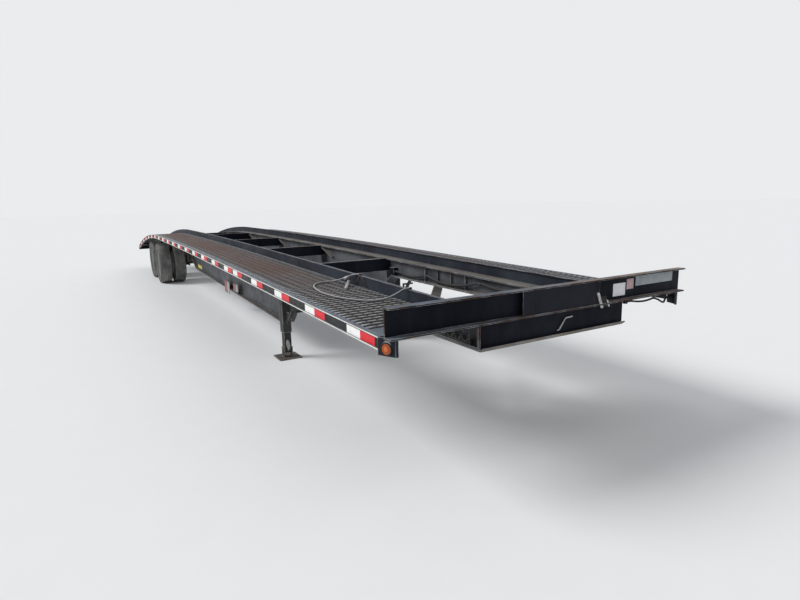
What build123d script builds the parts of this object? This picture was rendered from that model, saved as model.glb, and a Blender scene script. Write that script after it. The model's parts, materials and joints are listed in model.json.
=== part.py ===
"""Two-runway car hauling semi-trailer, standing on its wheels and landing legs.

Millimetres. +X points forward to the coupler, +Y to the left, +Z up. The origin is on the
ground under the middle of the trailer's length and width.

Two deep plate girders carry everything. Their necks are shallow over the coupler, and they
drop in a curve beside the landing legs. Outriggers stand out from them to the side rails,
and each side has one runway, a folded tray with raised bars across it. Every long member
follows one deck line: straight at the front, levelling out over a long crest arc, and
bending down over the wheels to the tail.
"""
from build123d import *
import math
import os

# Overall size
trailer_length = 14630.0
trailer_width = 2591.0

# Deck line, given by its top surface
deck_front_z = 1026.0
deck_rise_deg = 1.09
straight_length = 3300.0
crest_lead = 1150.0
tail_radius = 22000.0

# Joints between the lengths of a long member
weld_gap = 0.3
rail_joint_setback = 3450.0

# Front beam, a channel that opens forward and stands on the deck line
front_beam_height = 178.0
front_beam_flange = 58.0
front_beam_web = 8.0
front_beam_flange_thickness = 10.0
centre_plate_half = 346.0
centre_plate_thickness = 6.0
centre_plate_inset = 6.0

# Side rails, box sections with a shallow recess between two toes on the outer face
rail_depth = 76.0
rail_flange = 38.0
rail_wall = 6.0
rail_toe = 7.0
rail_recess = 10.0
rail_front_gap = 130.0

# Main girders
girder_y = 585.0
girder_flange_width = 130.0
girder_flange_thickness = 14.0
girder_web = 10.0
girder_top_drop = 16.0
neck_length = 3230.0
drop_length = 560.0
deep_front_z = 322.0
deep_rear_z = 432.0
taper_length = 720.0
seat_z = 752.0
seat_lead = 840.0
seat_trail = 910.0
tail_girder_depth = 122.0
drop_top_radius = 170.0
drop_bottom_radius = 140.0
girder_bend_radius = 400.0
splice_reach = 200.0

# Plates on the inner faces of the girders' webs, and the flat brace between the necks
stiffener_wall = 8.0
neck_stiffener_width = 22.0
neck_stiffener_first = 1775.0
neck_stiffener_pitch = 240.0
neck_stiffener_count = 4
knee_reach = 360.0
knee_fall = 124.0
knee_top_drop = 24.0
neck_brace_width = 96.0
neck_brace_thickness = 10.0
neck_brace_lead = 305.0
neck_brace_run = 760.0
neck_brace_overlap = 55.0

# Inner curbs, folded plates that stand above the runways
curb_height = 88.0
curb_thickness = 6.0
curb_lip = 26.0

# Runways, open ladders of cross bars on upright walls
runway_gap = 4.0
runway_depth = 34.0
runway_wall = 4.0
runway_ribs = 2
bar_pitch = 66.0
bar_depth = 10.0
bar_top = 16.0
bar_base = 36.0
bar_bite = 2.0
section_joint = 4.0
front_plate_length = 78.0
front_plate_thickness = 6.0

# Cross-members and outriggers
member_depth = 150.0
member_flange = 60.0
member_wall = 7.0
member_first = 3300.0
member_pitch = 2080.0
cope_gap = 3.0
outrigger_wall = 6.0
outrigger_root_depth = 190.0
outrigger_root_flat = 40.0
outrigger_fall = 60.0
outrigger_first = 1220.0
outrigger_pitch = 1040.0
end_clearance = 300.0
wheel_clearance = 25.0

# Coupler box under the front beam
coupler_inset = 4.0
coupler_z = 850.0
coupler_plate_thickness = 10.0
coupler_plate_length = 1150.0
coupler_front_thickness = 10.0
coupler_lip = 34.0
coupler_lip_deg = 35.0
coupler_side_length = 480.0
coupler_side_thickness = 6.0
coupler_side_gap = 90.0
mesh_width = 78.0
mesh_height = 94.0
mesh_bar = 9.0
mesh_border = 12.0
kingpin_setback = 700.0
kingpin_head_radius = 36.5
kingpin_head_length = 26.0
kingpin_neck_radius = 25.4
kingpin_neck_length = 32.0
kingpin_collar_radius = 36.5
kingpin_collar_length = 26.0
kingpin_bridge = 90.0
kingpin_bridge_length = 260.0
bridge_wall = 12.0

# Release handle on the coupler's front, and the bent hook plate on the front beam
handle_radius = 6.0
handle_reach = 18.0
handle_bend = 8.0
handle_route = (
    # y, z
    (-3.0, 893.0),
    (68.0, 971.0),
    (129.0, 974.0),
)
hook_low_y = 372.0
hook_high_y = 500.0
hook_thickness = 6.0
hook_inset = 8.0
hook_hang = 46.0

# Air hoses, with the shelves, clips and valve that hold them
cord_arc_share = 0.45
neck_hose_radius = 13.0
neck_hose_y = 540.0
neck_hose_route = (
    # x, z, on a shelf
    (4190.0, 927.0, False),
    (4310.0, 927.0, False),
    (4501.0, 897.0, False),
    (4740.0, 922.0, False),
    (4862.0, 955.0, True),
    (4978.0, 927.0, False),
    (5152.0, 901.0, False),
    (5333.0, 899.0, False),
    (5530.0, 919.0, False),
    (5791.0, 978.0, True),
    (5960.0, 953.0, False),
    (6190.0, 938.0, False),
    (6420.0, 951.0, True),
    (6640.0, 939.0, False),
    (6860.0, 955.0, True),
    (7055.0, 944.0, False),
    (7241.0, 944.0, False),
)
shelf_length = 18.0
shelf_thickness = 5.0
shelf_lip = 16.0
shelf_clearance = 0.2
valve_length = 92.0
valve_height = 88.0
front_hose_radius = 7.0
front_hose_route = (
    # x, y, z
    (7275.0, 675.0, 1010.0),
    (7275.0, 725.0, 1010.0),
    (7275.0, 790.0, 998.0),
    (7275.0, 860.0, 992.0),
    (7275.0, 928.0, 995.0),
    (7275.0, 985.0, 1004.0),
    (7273.0, 1046.0, 985.0),
    (7268.0, 1102.0, 957.0),
    (7252.0, 1152.0, 949.0),
    (7230.0, 1190.0, 958.0),
)
front_clip_length = 25.0
front_clip_half = 12.0
front_clip_place = 5
lamp_lead = 0.3
lamp_run = 42.0

# Loose cable over the right curb, which lies on the runway between its two clips
cable_radius = 7.0
cable_clip_length = 20.0
cable_clip_width = 18.0
cable_clip_height = 16.0
cable_route = (
    # x, y, height over the deck line
    (5550.0, 694.0, 72.0),
    (5470.0, 730.0, 38.0),
    (5402.0, 774.0, 14.0),
    (5362.0, 836.0, 8.0),
    (5376.0, 912.0, 8.0),
    (5440.0, 975.0, 8.0),
    (5552.0, 1022.0, 8.0),
    (5700.0, 1050.0, 8.0),
    (5850.0, 1060.0, 8.0),
    (5990.0, 1050.0, 8.0),
    (6120.0, 1018.0, 8.0),
    (6235.0, 962.0, 8.0),
    (6312.0, 903.0, 8.0),
    (6362.0, 838.0, 13.0),
    (6400.0, 772.0, 34.0),
    (6430.0, 722.0, 64.0),
)
cable_clips = (
    # x, y of the clip's outer face on the curb, heading from rearward to outboard, level run
    (5662.0, 647.0, 22.0, 40.0),
    (6466.0, 651.0, 64.0, 30.0),
)

# Front corner lamp brackets
bracket_height = 102.0
bracket_width = 122.0
bracket_thickness = 6.0
bracket_turn_deg = 24.0
bracket_return = 18.0
lamp_radius = 32.0
lamp_depth = 16.0
lamp_clearance = 0.1
grommet_radius = 39.5
grommet_depth = 9.0
grommet_groove = 6.0

# Landing legs
leg_behind_neck = 240.0
leg_y = 730.0
leg_tube = 101.6
leg_wall = 6.0
leg_top_drop = 110.0
leg_tube_bottom = 300.0
leg_post = 84.0
leg_post_overlap = 160.0
leg_collar_low = 90.0
leg_collar_high = 150.0
leg_slide_gap = 0.8
leg_foot_size = 260.0
leg_foot_thickness = 12.0
leg_foot_gap = 46.0
leg_ear_thickness = 10.0
leg_ear_height = 70.0
leg_pin_radius = 14.0
leg_shaft_radius = 16.0
leg_shaft_z = 520.0
leg_mount_length = 90.0
leg_mount_height = 240.0
leg_mount_drop = 20.0
leg_brace_radius = 19.0
leg_brace_low = 430.0
leg_brace_reach = 560.0
leg_gusset_reach = 150.0
leg_gusset_high = 545.0
leg_gusset_low = 405.0
leg_gusset_thickness = 10.0
gearbox_length = 96.0
gearbox_width = 52.0
gearbox_height = 150.0
crank_radius = 11.0
crank_arm_thickness = 16.0
crank_throw = 190.0
crank_grip = 130.0

# Axles
axle_spacing = 1250.0
rear_axle_from_tail = 2280.0
axle_tube_radius = 63.5
spindle_radius = 46.0
spindle_clearance = 0.05
backing_plate_thickness = 6.0
backing_plate_gap = 8.0
seat_clearance = 0.3

# Tyres and wheels, in pairs
tyre_radius = 457.5
tyre_width = 252.0
tyre_bead_radius = 287.0
tyre_bead_width = 202.0
tyre_belly_radius = 392.0
tyre_tread_width = 204.0
dual_spacing = 300.0
dual_centre_y = 935.0
rim_clearance = 0.3
rim_width = 190.0
rim_wall = 9.0
disc_thickness = 11.0
disc_flat_radius = 160.0
disc_step_radius = 186.0
disc_step = 44.0
disc_outer_radius = 262.0
disc_dish = 66.0
hand_hole_count = 10
hand_hole_radius = 25.0
hand_hole_circle = 224.0
hub_radius = 115.0
hub_length = 52.0
hub_cap_radius = 84.0
hub_cap_length = 120.0
hub_cap_bevel = 12.0
spindle_end = 60.0
drum_radius = 228.0
drum_length = 205.0
drum_wall = 14.0
drum_seat_radius = 165.0
drum_shoulder = 58.0

# Leaf springs
spring_width = 76.0
spring_leaf = 13.0
spring_leaves = 3
leaf_step = 0.22
spring_half_length = 545.0
spring_camber = 36.0
spring_seat_height = 40.0
saddle_half = 96.0
saddle_drop = 30.0
ubolt_radius = 9.0
ubolt_reach = 80.0
ubolt_plate = 16.0
ubolt_gap = 3.0
clamp_margin = 6.0

# Spring hangers and rockers
hanger_thickness = 10.0
hanger_length = 150.0
hanger_drop = 246.0
hanger_play = 4.0
hanger_inset = 20.0
hanger_shoulder = 30.0
cam_radius = 26.0
cam_rib = 24.0
rocker_length = 330.0
rocker_pin_radius = 22.0
rocker_pin_drop = 24.0
rocker_boss = 34.0
rocker_tip = 30.0
rocker_clearance = 12.0
rod_radius = 19.0
rod_eye_radius = 28.0
rod_eye_half = 34.0
rod_pin_radius = 11.0
rod_pin_rise = 32.0
rod_end_z = 470.0

# Brakes and air tank
chamber_radius = 78.0
chamber_length = 165.0
chamber_band = 8.0
chamber_band_width = 14.0
chamber_y = 395.0
chamber_offset = 190.0
chamber_rise = 70.0
chamber_bracket = 12.0
chamber_plate_half = 60.0
chamber_neck_half = 40.0
camshaft_radius = 17.0
camshaft_offset = 128.0
camshaft_drop = 20.0
slack_arm = 130.0
slack_width = 48.0
slack_thickness = 24.0
slack_y_offset = 90.0
tank_radius = 130.0
tank_length = 760.0
tank_strap = 40.0
tank_gap = 24.0

# Tail beam and its lamps
tail_beam_depth = 100.0
tail_beam_width = 60.0
tail_beam_wall = 6.0
tail_beam_drop = 2.0
tail_lamp_radius = 44.0
tail_lamp_pitch = 150.0
tail_lamp_inset = 190.0
tail_lamp_depth = 14.0
tail_lamp_recess = 1.0
tail_lamp_clearance = 0.3
tail_lamp_count = 3

# Worked-out places
front_x = trailer_length / 2
tail_x = -trailer_length / 2
half_width = trailer_width / 2
rear_axle_x = tail_x + rear_axle_from_tail
front_axle_x = rear_axle_x + axle_spacing
middle_x = (front_axle_x + rear_axle_x) / 2
axle_z = tyre_radius
rise = math.radians(deck_rise_deg)
crest_start_x = front_x - straight_length
crest_end_x = front_axle_x + crest_lead
crest_radius = (crest_start_x - crest_end_x) / math.sin(rise)
crest_z = deck_front_z + straight_length * math.tan(rise) + crest_radius * (1 - math.cos(rise))
tail_front_x = tail_x + tail_beam_width
tail_middle_x = (crest_end_x + tail_front_x) / 2
neck_x = front_x - neck_length
deep_x = neck_x - drop_length
seat_x = front_axle_x + seat_lead
deep_rear_x = seat_x + taper_length
seat_rear_x = rear_axle_x - seat_trail
coupler_x = front_x - front_beam_flange + front_beam_web
neck_z = coupler_z + coupler_plate_thickness
front_beam_low = deck_front_z + front_beam_flange * math.tan(rise)
leg_x = neck_x - leg_behind_neck
rail_inner_y = half_width - rail_flange
girder_inner_y = girder_y - girder_flange_width / 2
web_inner_y = girder_y - girder_web / 2
flange_edge_y = girder_y + girder_flange_width / 2
curb_outer_y = flange_edge_y + curb_thickness
coupler_half = flange_edge_y - coupler_inset
runway_inner_y = curb_outer_y + runway_gap
runway_outer_y = rail_inner_y - runway_gap
drum_face_y = dual_centre_y - disc_thickness
drum_low_y = drum_face_y - drum_length
backing_y = drum_low_y - backing_plate_gap
spring_pack = spring_leaf * spring_leaves
spring_low_z = axle_z + axle_tube_radius + spring_seat_height
spring_end_z = spring_low_z + spring_pack + spring_camber
hanger_places = (
    ("front", front_axle_x + spring_half_length - hanger_inset),
    ("middle", middle_x),
    ("rear", rear_axle_x - spring_half_length + hanger_inset),
)
SIDES = (("right", -1), ("left", 1))
AXLES = (("front", front_axle_x), ("rear", rear_axle_x))


def deck_z(x):
    """Height of the deck line at a place along the trailer."""
    if x >= crest_start_x:
        return deck_front_z + (front_x - x) * math.tan(rise)
    if x >= crest_end_x:
        return crest_z - crest_radius + math.sqrt(crest_radius**2 - (x - crest_end_x) ** 2)
    return crest_z - tail_radius + math.sqrt(tail_radius**2 - (x - crest_end_x) ** 2)


def deck_edges(x_start, x_end, drop):
    """Edges of the deck line from one place to another, lowered by a drop."""
    backward = x_end < x_start
    low, high = min(x_start, x_end), max(x_start, x_end)
    breaks = [x for x in (crest_start_x, crest_end_x) if low + 1 < x < high - 1]
    stops = [x_start] + sorted(breaks, reverse=backward) + [x_end]
    edges = []
    for a, b in zip(stops, stops[1:]):
        ends = [Vector(x, 0, deck_z(x) - drop) for x in (a, (a + b) / 2, b)]
        if min(a, b) >= crest_start_x - 1:
            edges.append(Edge.make_line(ends[0], ends[2]))
        else:
            edges.append(Edge.make_three_point_arc(*ends))
    return edges


def plate_xz(edges, y_low, y_high):
    """A plate with a closed outline in the XZ plane, between two places in Y."""
    face = Face(Wire(edges))
    return Solid.extrude(face, Vector(0, y_high - y_low, 0)).moved(Location((0, y_low, 0)))


def prism_y(points, y_low, y_high):
    """A plate between two places in Y, from its (x, z) corners."""
    outline = Polyline(*[(x, y_low, z) for x, z in points], close=True)
    return extrude(make_face(outline), amount=y_high - y_low, dir=(0, 1, 0))


def deck_band(x_front, x_rear, top_drop, bottom_drop, y_low, y_high):
    """A strip that follows the deck line between two drops."""
    top = deck_edges(x_front, x_rear, top_drop)
    bottom = deck_edges(x_rear, x_front, bottom_drop)
    rear = Edge.make_line(top[-1] @ 1, bottom[0] @ 0)
    front = Edge.make_line(bottom[-1] @ 1, top[0] @ 0)
    return plate_xz(top + [rear] + bottom + [front], y_low, y_high)


def lengths(stops, gap):
    """The ends of each length between stops, with a gap at every joint."""
    last = len(stops) - 2
    for number, (front, rear) in enumerate(zip(stops, stops[1:])):
        yield (front if number == 0 else front - gap / 2), (rear if number == last else rear + gap / 2)


def block(x_low, x_high, y_low, y_high, z_low, z_high):
    """A box between two corners."""
    centre = ((x_low + x_high) / 2, (y_low + y_high) / 2, (z_low + z_high) / 2)
    return Pos(*centre) * Box(x_high - x_low, y_high - y_low, z_high - z_low)


def cylinder_x(y, z, radius, x_low, x_high):
    """A round bar along the trailer."""
    return Pos((x_low + x_high) / 2, y, z) * Rot(0, 90, 0) * Cylinder(radius, x_high - x_low)


def cylinder_y(x, z, radius, y_low, y_high):
    """A round bar across the trailer."""
    return Pos(x, (y_low + y_high) / 2, z) * Rot(90, 0, 0) * Cylinder(radius, y_high - y_low)


def cylinder_z(x, y, radius, z_low, z_high):
    """An upright round bar."""
    return Pos(x, y, (z_low + z_high) / 2) * Cylinder(radius, z_high - z_low)


def revolve_y(points, x, z):
    """A solid turned about a crosswise axis from (y, radius) points."""
    outline = Polyline(*[(x + r, y, z) for y, r in points], close=True)
    return revolve(make_face(outline), Axis((x, 0, z), (0, 1, 0)))


def one_side(shape, side):
    """The shape as drawn for the left side, or its mirror on the right."""
    return shape if side > 0 else mirror(shape, about=Plane.XZ)


def both_sides(*shapes):
    """Each shape on the right and on the left."""
    return [one_side(shape, side) for _, side in SIDES for shape in shapes]


def write(node, *shapes):
    """Writes the solids of one sub-part."""
    solids = []
    for shape in shapes:
        solids += shape.solids()
    for number, solid in enumerate(solids):
        if not solid.is_valid:
            print("not valid:", node, number)
    export_step(solids[0] if len(solids) == 1 else Compound(children=solids), f"parts/{node}.step")


def front_beam():
    """Front channel over the full width, with its flanges forward, and the bare plate in its middle."""
    back = front_x - front_beam_flange
    low = front_beam_low
    high = low + front_beam_height
    beam = block(back, back + front_beam_web, -half_width, half_width, low, high)
    beam += block(back, front_x, -half_width, half_width, low, low + front_beam_flange_thickness)
    beam += block(back, front_x, -half_width, half_width, high - front_beam_flange_thickness, high)
    write("front_beam", beam)
    plate_front = front_x - centre_plate_inset
    plate = block(plate_front - centre_plate_thickness, plate_front, -centre_plate_half, centre_plate_half,
                  low + front_beam_flange_thickness, high - front_beam_flange_thickness)
    write("centre_plate", plate)


def front_plates():
    """Smooth plates at deck level between the runways and the front beam."""
    x_front = front_x - front_beam_flange
    x_rear = x_front - front_plate_length + section_joint
    plate = deck_band(x_front, x_rear, 0, front_plate_thickness, curb_outer_y, rail_inner_y)
    write("front_deck_plates", *both_sides(plate))


def side_rails():
    """Box sections along both edges of the deck, recessed between their toes, in welded lengths."""
    stops = (front_x - rail_front_gap, front_x - rail_joint_setback, crest_end_x, tail_middle_x, tail_front_x)
    face_y = half_width - rail_recess
    rails = []
    for x_front, x_rear in lengths(stops, weld_gap):
        rail = deck_band(x_front, x_rear, 0, rail_depth, rail_inner_y, half_width)
        rail = rail - deck_band(x_front + 1, x_rear - 1, rail_toe, rail_depth - rail_toe, face_y, half_width + 1)
        rails.append(rail - deck_band(x_front + 1, x_rear - 1, rail_toe, rail_depth - rail_toe,
                                      rail_inner_y + rail_wall, face_y - rail_wall))
    for name, side in SIDES:
        write(f"side_rail_{name}", *[one_side(rail, side) for rail in rails])


def inset_path(points, radii, gap):
    """The corners and radii of a path through points, moved up and inward by a gap."""
    lines = []
    for a, b in zip(points, points[1:]):
        along = (b - a).normalized()
        lines.append((a + Vector(-along.Z, 0, along.X) * gap, along))
    start, along = lines[0]
    corners = [start + along * ((points[0].X + gap - start.X) / along.X)]
    for (p, u), (q, v) in zip(lines, lines[1:]):
        reach = ((q.X - p.X) * v.Z - (q.Z - p.Z) * v.X) / (u.X * v.Z - u.Z * v.X)
        corners.append(p + u * reach)
    end, along = lines[-1]
    corners.append(end + along * ((points[-1].X - gap - end.X) / along.X))
    turned = []
    for (_, u), (_, v), radius in zip(lines, lines[1:], radii):
        turns_up = u.X * v.Z - u.Z * v.X > 0
        turned.append(radius - gap if turns_up else radius + gap)
    return corners, turned


def girder_outline(gap):
    """Closed edges of a girder seen from the side, moved inward by a gap."""
    x_front = coupler_x - coupler_front_thickness
    tail_drop = girder_top_drop + tail_girder_depth
    bottom_line = (
        # x, z, bend radius
        (tail_front_x, deck_z(tail_front_x) - tail_drop, None),
        (seat_rear_x, seat_z, girder_bend_radius),
        (seat_x, seat_z, girder_bend_radius),
        (deep_rear_x, deep_rear_z, girder_bend_radius),
        (deep_x, deep_front_z, drop_bottom_radius),
        (neck_x, neck_z, drop_top_radius),
        (x_front, neck_z, None),
    )
    points = [Vector(x, 0, z) for x, z, _ in bottom_line]
    radii = [radius for _, _, radius in bottom_line if radius]
    corners, turned = inset_path(points, radii, gap)
    bottom = FilletPolyline(*corners, radius=turned)
    top = deck_edges(x_front - gap, tail_front_x + gap, girder_top_drop + gap)
    rear = Edge.make_line(top[-1] @ 1, bottom @ 0)
    front = Edge.make_line(bottom @ 1, top[0] @ 0)
    return top + [rear] + list(bottom.edges()) + [front]


def web_plates():
    """Upright stiffeners and slanted knees for the girders' inner faces, each with its place along them."""
    inside = girder_outline(girder_flange_thickness)
    room = plate_xz(inside, girder_inner_y, web_inner_y)
    plates = []
    for number in range(neck_stiffener_count):
        x = front_x - neck_stiffener_first - number * neck_stiffener_pitch
        plates.append((x, room & block(x - stiffener_wall, x, web_inner_y - neck_stiffener_width, web_inner_y,
                                       neck_z, 2 * neck_z)))
    for number, x in enumerate(member_places()):
        low = member_low(x) - cope_gap
        plates.append((x, room & block(x - stiffener_wall, x, girder_inner_y, web_inner_y, 0, low)))
        if 0 < number < len(member_places()) - 1:
            high = deck_z(x) - girder_top_drop - knee_top_drop
            knee = prism_y([(x, high), (x + knee_reach, high - knee_fall),
                            (x + knee_reach, high - knee_fall - stiffener_wall), (x, high - stiffener_wall)],
                           girder_inner_y, web_inner_y)
            plates.append((x, room & knee))
    return plates


def girders():
    """Plate girders: one profile hollowed on both faces down to the web, in four welded lengths."""
    girder = plate_xz(girder_outline(0), girder_inner_y, flange_edge_y)
    inside = girder_outline(girder_flange_thickness)
    girder = girder - plate_xz(inside, girder_inner_y - 1, web_inner_y)
    girder = girder - plate_xz(inside, girder_y + girder_web / 2, flange_edge_y + 1)
    stops = (coupler_x, neck_x + splice_reach, seat_x - splice_reach, seat_rear_x + splice_reach, tail_x)
    plates = web_plates()
    parts = []
    for x_front, x_rear in lengths(stops, weld_gap):
        part = girder & block(x_rear, x_front, 0, half_width, 0, 2 * deck_front_z)
        parts.append(part + [plate for x, plate in plates if x_rear < x < x_front])
    for name, side in SIDES:
        write(f"girder_{name}", *[one_side(part, side) for part in parts])


def curbs():
    """Folded curb plates on the outer edge of the girders' top flanges, in welded lengths."""
    stops = (front_x - front_beam_flange, crest_end_x, tail_middle_x, tail_front_x)
    drop = girder_top_drop + girder_flange_thickness
    plates = []
    for x_front, x_rear in lengths(stops, weld_gap):
        wall = deck_band(x_front, x_rear, -curb_height, drop, flange_edge_y, curb_outer_y)
        lip = deck_band(x_front, x_rear, -curb_height, -curb_height + curb_thickness,
                        curb_outer_y - curb_lip, curb_outer_y)
        plates.append(wall + lip)
    for name, side in SIDES:
        write(f"curb_{name}", *[one_side(plate, side) for plate in plates])


def cross_bars(x_front, x_rear):
    """The raised bars of one runway length, all alike, standing along the deck line."""
    count = int((x_front - x_rear) // bar_pitch)
    margin = (x_front - x_rear - (count - 1) * bar_pitch) / 2
    bars = []
    for number in range(count):
        x = x_front - margin - number * bar_pitch
        z = deck_z(x)
        bars.append(prism_y([(x + bar_top / 2, z), (x + bar_base / 2, z - bar_depth), (x - bar_base / 2, z - bar_depth),
                             (x - bar_top / 2, z)], runway_inner_y, runway_outer_y))
    return bars


def runways():
    """Runways in four lengths a side: ladders of cross bars let into the tops of upright walls."""
    x_first = front_x - front_beam_flange - front_plate_length
    stops = (x_first, crest_start_x, crest_end_x, tail_middle_x, tail_front_x)
    names = ("neck", "middle", "rear", "tail")
    rib_step = (runway_outer_y - runway_inner_y - runway_wall) / (runway_ribs + 1)
    for section, (x_front, x_rear) in zip(names, lengths(stops, section_joint)):
        walls = []
        for rib in range(runway_ribs + 2):
            y_low = runway_inner_y + rib * rib_step
            walls.append(deck_band(x_front, x_rear, bar_depth - bar_bite, runway_depth, y_low, y_low + runway_wall))
        ladder = walls[0].fuse(*walls[1:], *cross_bars(x_front, x_rear))
        for name, side in SIDES:
            write(f"runway_{section}_{name}", one_side(ladder, side))


def member_places():
    """Places of the cross-members' front faces between the girders, from the front."""
    places = []
    x = front_x - member_first
    while x > seat_rear_x + member_pitch / 2:
        places.append(x)
        x = x - member_pitch
    return places + [hanger_places[-1][1]]


def member_top(x):
    """The top of the cross-member at a place, level with the girders' tops."""
    return min(deck_z(x), deck_z(x - member_flange)) - girder_top_drop


def member_low(x):
    """The underside of the cross-member at a place."""
    return member_top(x) - member_depth


def cross_members():
    """Channels between the girders' webs, coped round their flanges."""
    members = []
    for x in member_places():
        top = member_top(x)
        low = member_low(x)
        under_flange = top - girder_flange_thickness - cope_gap
        web = block(x - member_wall, x, -web_inner_y, web_inner_y, low, under_flange)
        web = web + block(x - member_wall, x, -girder_inner_y, girder_inner_y, low, top)
        upper = block(x - member_flange, x, -girder_inner_y, girder_inner_y, top - member_wall, top)
        lower = block(x - member_flange, x, -web_inner_y, web_inner_y, low, low + member_wall)
        members.append(web + upper + lower)
    write("cross_members", *members)


def neck_brace():
    """Two crossed flat bars under the necks, butted against the coupler plate's rear edge."""
    butt_x = coupler_x - coupler_plate_length - weld_gap
    centre_x = butt_x - neck_brace_lead
    half_span = girder_inner_y + neck_brace_overlap
    turn = math.degrees(math.atan2(half_span, neck_brace_run))
    bar = Box(4 * half_span, neck_brace_width, neck_brace_thickness)
    middle = (centre_x, 0, neck_z - neck_brace_thickness / 2)
    brace = Pos(*middle) * Rot(0, 0, turn) * bar + Pos(*middle) * Rot(0, 0, -turn) * bar
    room = block(neck_x, butt_x, -half_span, half_span, neck_z - neck_brace_thickness, neck_z)
    write("neck_brace", brace & room)


def outrigger_low(x, low):
    """The low edge of an outrigger, kept above the tyres where it stands over them."""
    reach = tyre_radius + wheel_clearance
    over_wheels = rear_axle_x - reach < x < front_axle_x + reach
    return max(low, 2 * tyre_radius + wheel_clearance) if over_wheels else low


def outriggers():
    """Tapered brackets from the girders' webs to the side rails."""
    inner_y = girder_y + girder_web / 2
    arms = []
    x = front_x - outrigger_first
    while x > tail_front_x + end_clearance:
        deck = min(deck_z(x), deck_z(x - outrigger_wall))
        high = min(deck - girder_top_drop - girder_flange_thickness, deck - runway_depth)
        outer_low = outrigger_low(x, deck - rail_depth)
        root_low = outrigger_low(x, max(high - outrigger_root_depth, deck - rail_depth - outrigger_fall))
        outline = Polyline(
            (x, inner_y, high), (x, rail_inner_y, high), (x, rail_inner_y, outer_low),
            (x, flange_edge_y + outrigger_root_flat, root_low), (x, inner_y, root_low), close=True)
        arms.append(extrude(make_face(outline), amount=outrigger_wall, dir=(-1, 0, 0)))
        x = x - outrigger_pitch
    for name, side in SIDES:
        write(f"outriggers_{name}", *[one_side(arm, side) for arm in arms])


def coupler():
    """Coupler box under the front beam: its front, its bottom plate with a turned-up lip, and the kingpin."""
    front = block(coupler_x - coupler_front_thickness, coupler_x, -coupler_half, coupler_half,
                  neck_z, front_beam_low)
    write("coupler_front", front)
    lip = math.radians(coupler_lip_deg)
    run = coupler_lip * math.cos(lip)
    lift = coupler_lip * math.sin(lip)
    bend_x = coupler_x + coupler_plate_thickness * math.tan(lip / 2)
    rear_x = coupler_x - coupler_plate_length
    plate = prism_y([
        (rear_x, coupler_z), (bend_x, coupler_z), (bend_x + run, coupler_z + lift),
        (bend_x + run - coupler_plate_thickness * math.sin(lip),
         coupler_z + lift + coupler_plate_thickness * math.cos(lip)),
        (coupler_x, neck_z), (rear_x, neck_z)], -coupler_half, coupler_half)
    pin_x = coupler_x - kingpin_setback
    seat = cylinder_z(pin_x, 0, kingpin_collar_radius + seat_clearance, coupler_z - 1,
                      coupler_z + kingpin_collar_length + seat_clearance)
    write("coupler_plate", plate - seat)
    neck_low = coupler_z - kingpin_neck_length
    head_low = neck_low - kingpin_head_length
    pin = cylinder_z(pin_x, 0, kingpin_collar_radius, coupler_z, coupler_z + kingpin_collar_length)
    pin = pin + cylinder_z(pin_x, 0, kingpin_neck_radius, neck_low, coupler_z)
    pin = pin + cylinder_z(pin_x, 0, kingpin_head_radius, head_low, neck_low)
    write("kingpin", pin)
    half = kingpin_bridge_length / 2
    bridge = block(pin_x - half, pin_x + half, -girder_inner_y, girder_inner_y, neck_z, neck_z + kingpin_bridge)
    cells = ((pin_x - half + bridge_wall, pin_x - bridge_wall), (pin_x + bridge_wall, pin_x + half - bridge_wall))
    for low_x, high_x in cells:
        bridge = bridge - block(low_x, high_x, -girder_inner_y - 1, girder_inner_y + 1, neck_z + bridge_wall,
                                neck_z + kingpin_bridge - bridge_wall)
    write("kingpin_bridge", bridge - seat)


def coupler_sides():
    """Diamond mesh panels that close the coupler box's sides."""
    x_front = coupler_x - coupler_front_thickness - coupler_side_gap
    x_rear = x_front - coupler_side_length
    low = neck_z + girder_flange_thickness
    high = deck_z(x_front) - girder_top_drop - girder_flange_thickness
    y_low = coupler_half - coupler_side_thickness
    panel = block(x_rear, x_front, y_low, coupler_half, low, high)
    window = block(x_rear + mesh_border, x_front - mesh_border, y_low - 1, coupler_half + 1,
                   low + mesh_border, high - mesh_border)
    slope = math.hypot(mesh_width, mesh_height)
    half_x = (mesh_width - mesh_bar * slope / mesh_height) / 2
    half_z = (mesh_height - mesh_bar * slope / mesh_width) / 2
    columns = int(coupler_side_length / mesh_width) + 1
    cells = []
    for row, z in enumerate((low, low + mesh_height / 2, low + mesh_height, low + 1.5 * mesh_height)):
        shift = mesh_width / 2 if row % 2 else 0
        for column in range(columns):
            x = x_rear + shift + column * mesh_width
            cells.append(window & prism_y([(x - half_x, z), (x, z + half_z), (x + half_x, z), (x, z - half_z)],
                                          y_low - 1, coupler_half + 1))
    for cell in cells:
        if cell and cell.solids():
            panel = panel - cell
    write("coupler_side_meshes", *both_sides(panel))


def front_fittings():
    """The bent release handle on the coupler's front and the hook plate on the front beam."""
    out_x = coupler_x + handle_reach
    first_y, first_z = handle_route[0]
    last_y, last_z = handle_route[-1]
    route = [(coupler_x, first_y, first_z)] + [(out_x, y, z) for y, z in handle_route] + [(coupler_x, last_y, last_z)]
    handle = tube_along(FilletPolyline(*route, radius=handle_bend), handle_radius)
    channel_low = front_beam_low + front_beam_flange_thickness
    channel_high = front_beam_low + front_beam_height - front_beam_flange_thickness
    web_x = coupler_x
    toe_x = front_x - hook_inset
    slanted = prism_y([(web_x, channel_high), (web_x + hook_thickness, channel_high), (toe_x, channel_low),
                       (toe_x - hook_thickness, channel_low)], hook_low_y, hook_high_y)
    hanging = block(toe_x - hook_thickness, toe_x, hook_low_y, hook_high_y, front_beam_low - hook_hang,
                    front_beam_low)
    write("front_fittings", handle, slanted, hanging)


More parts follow.
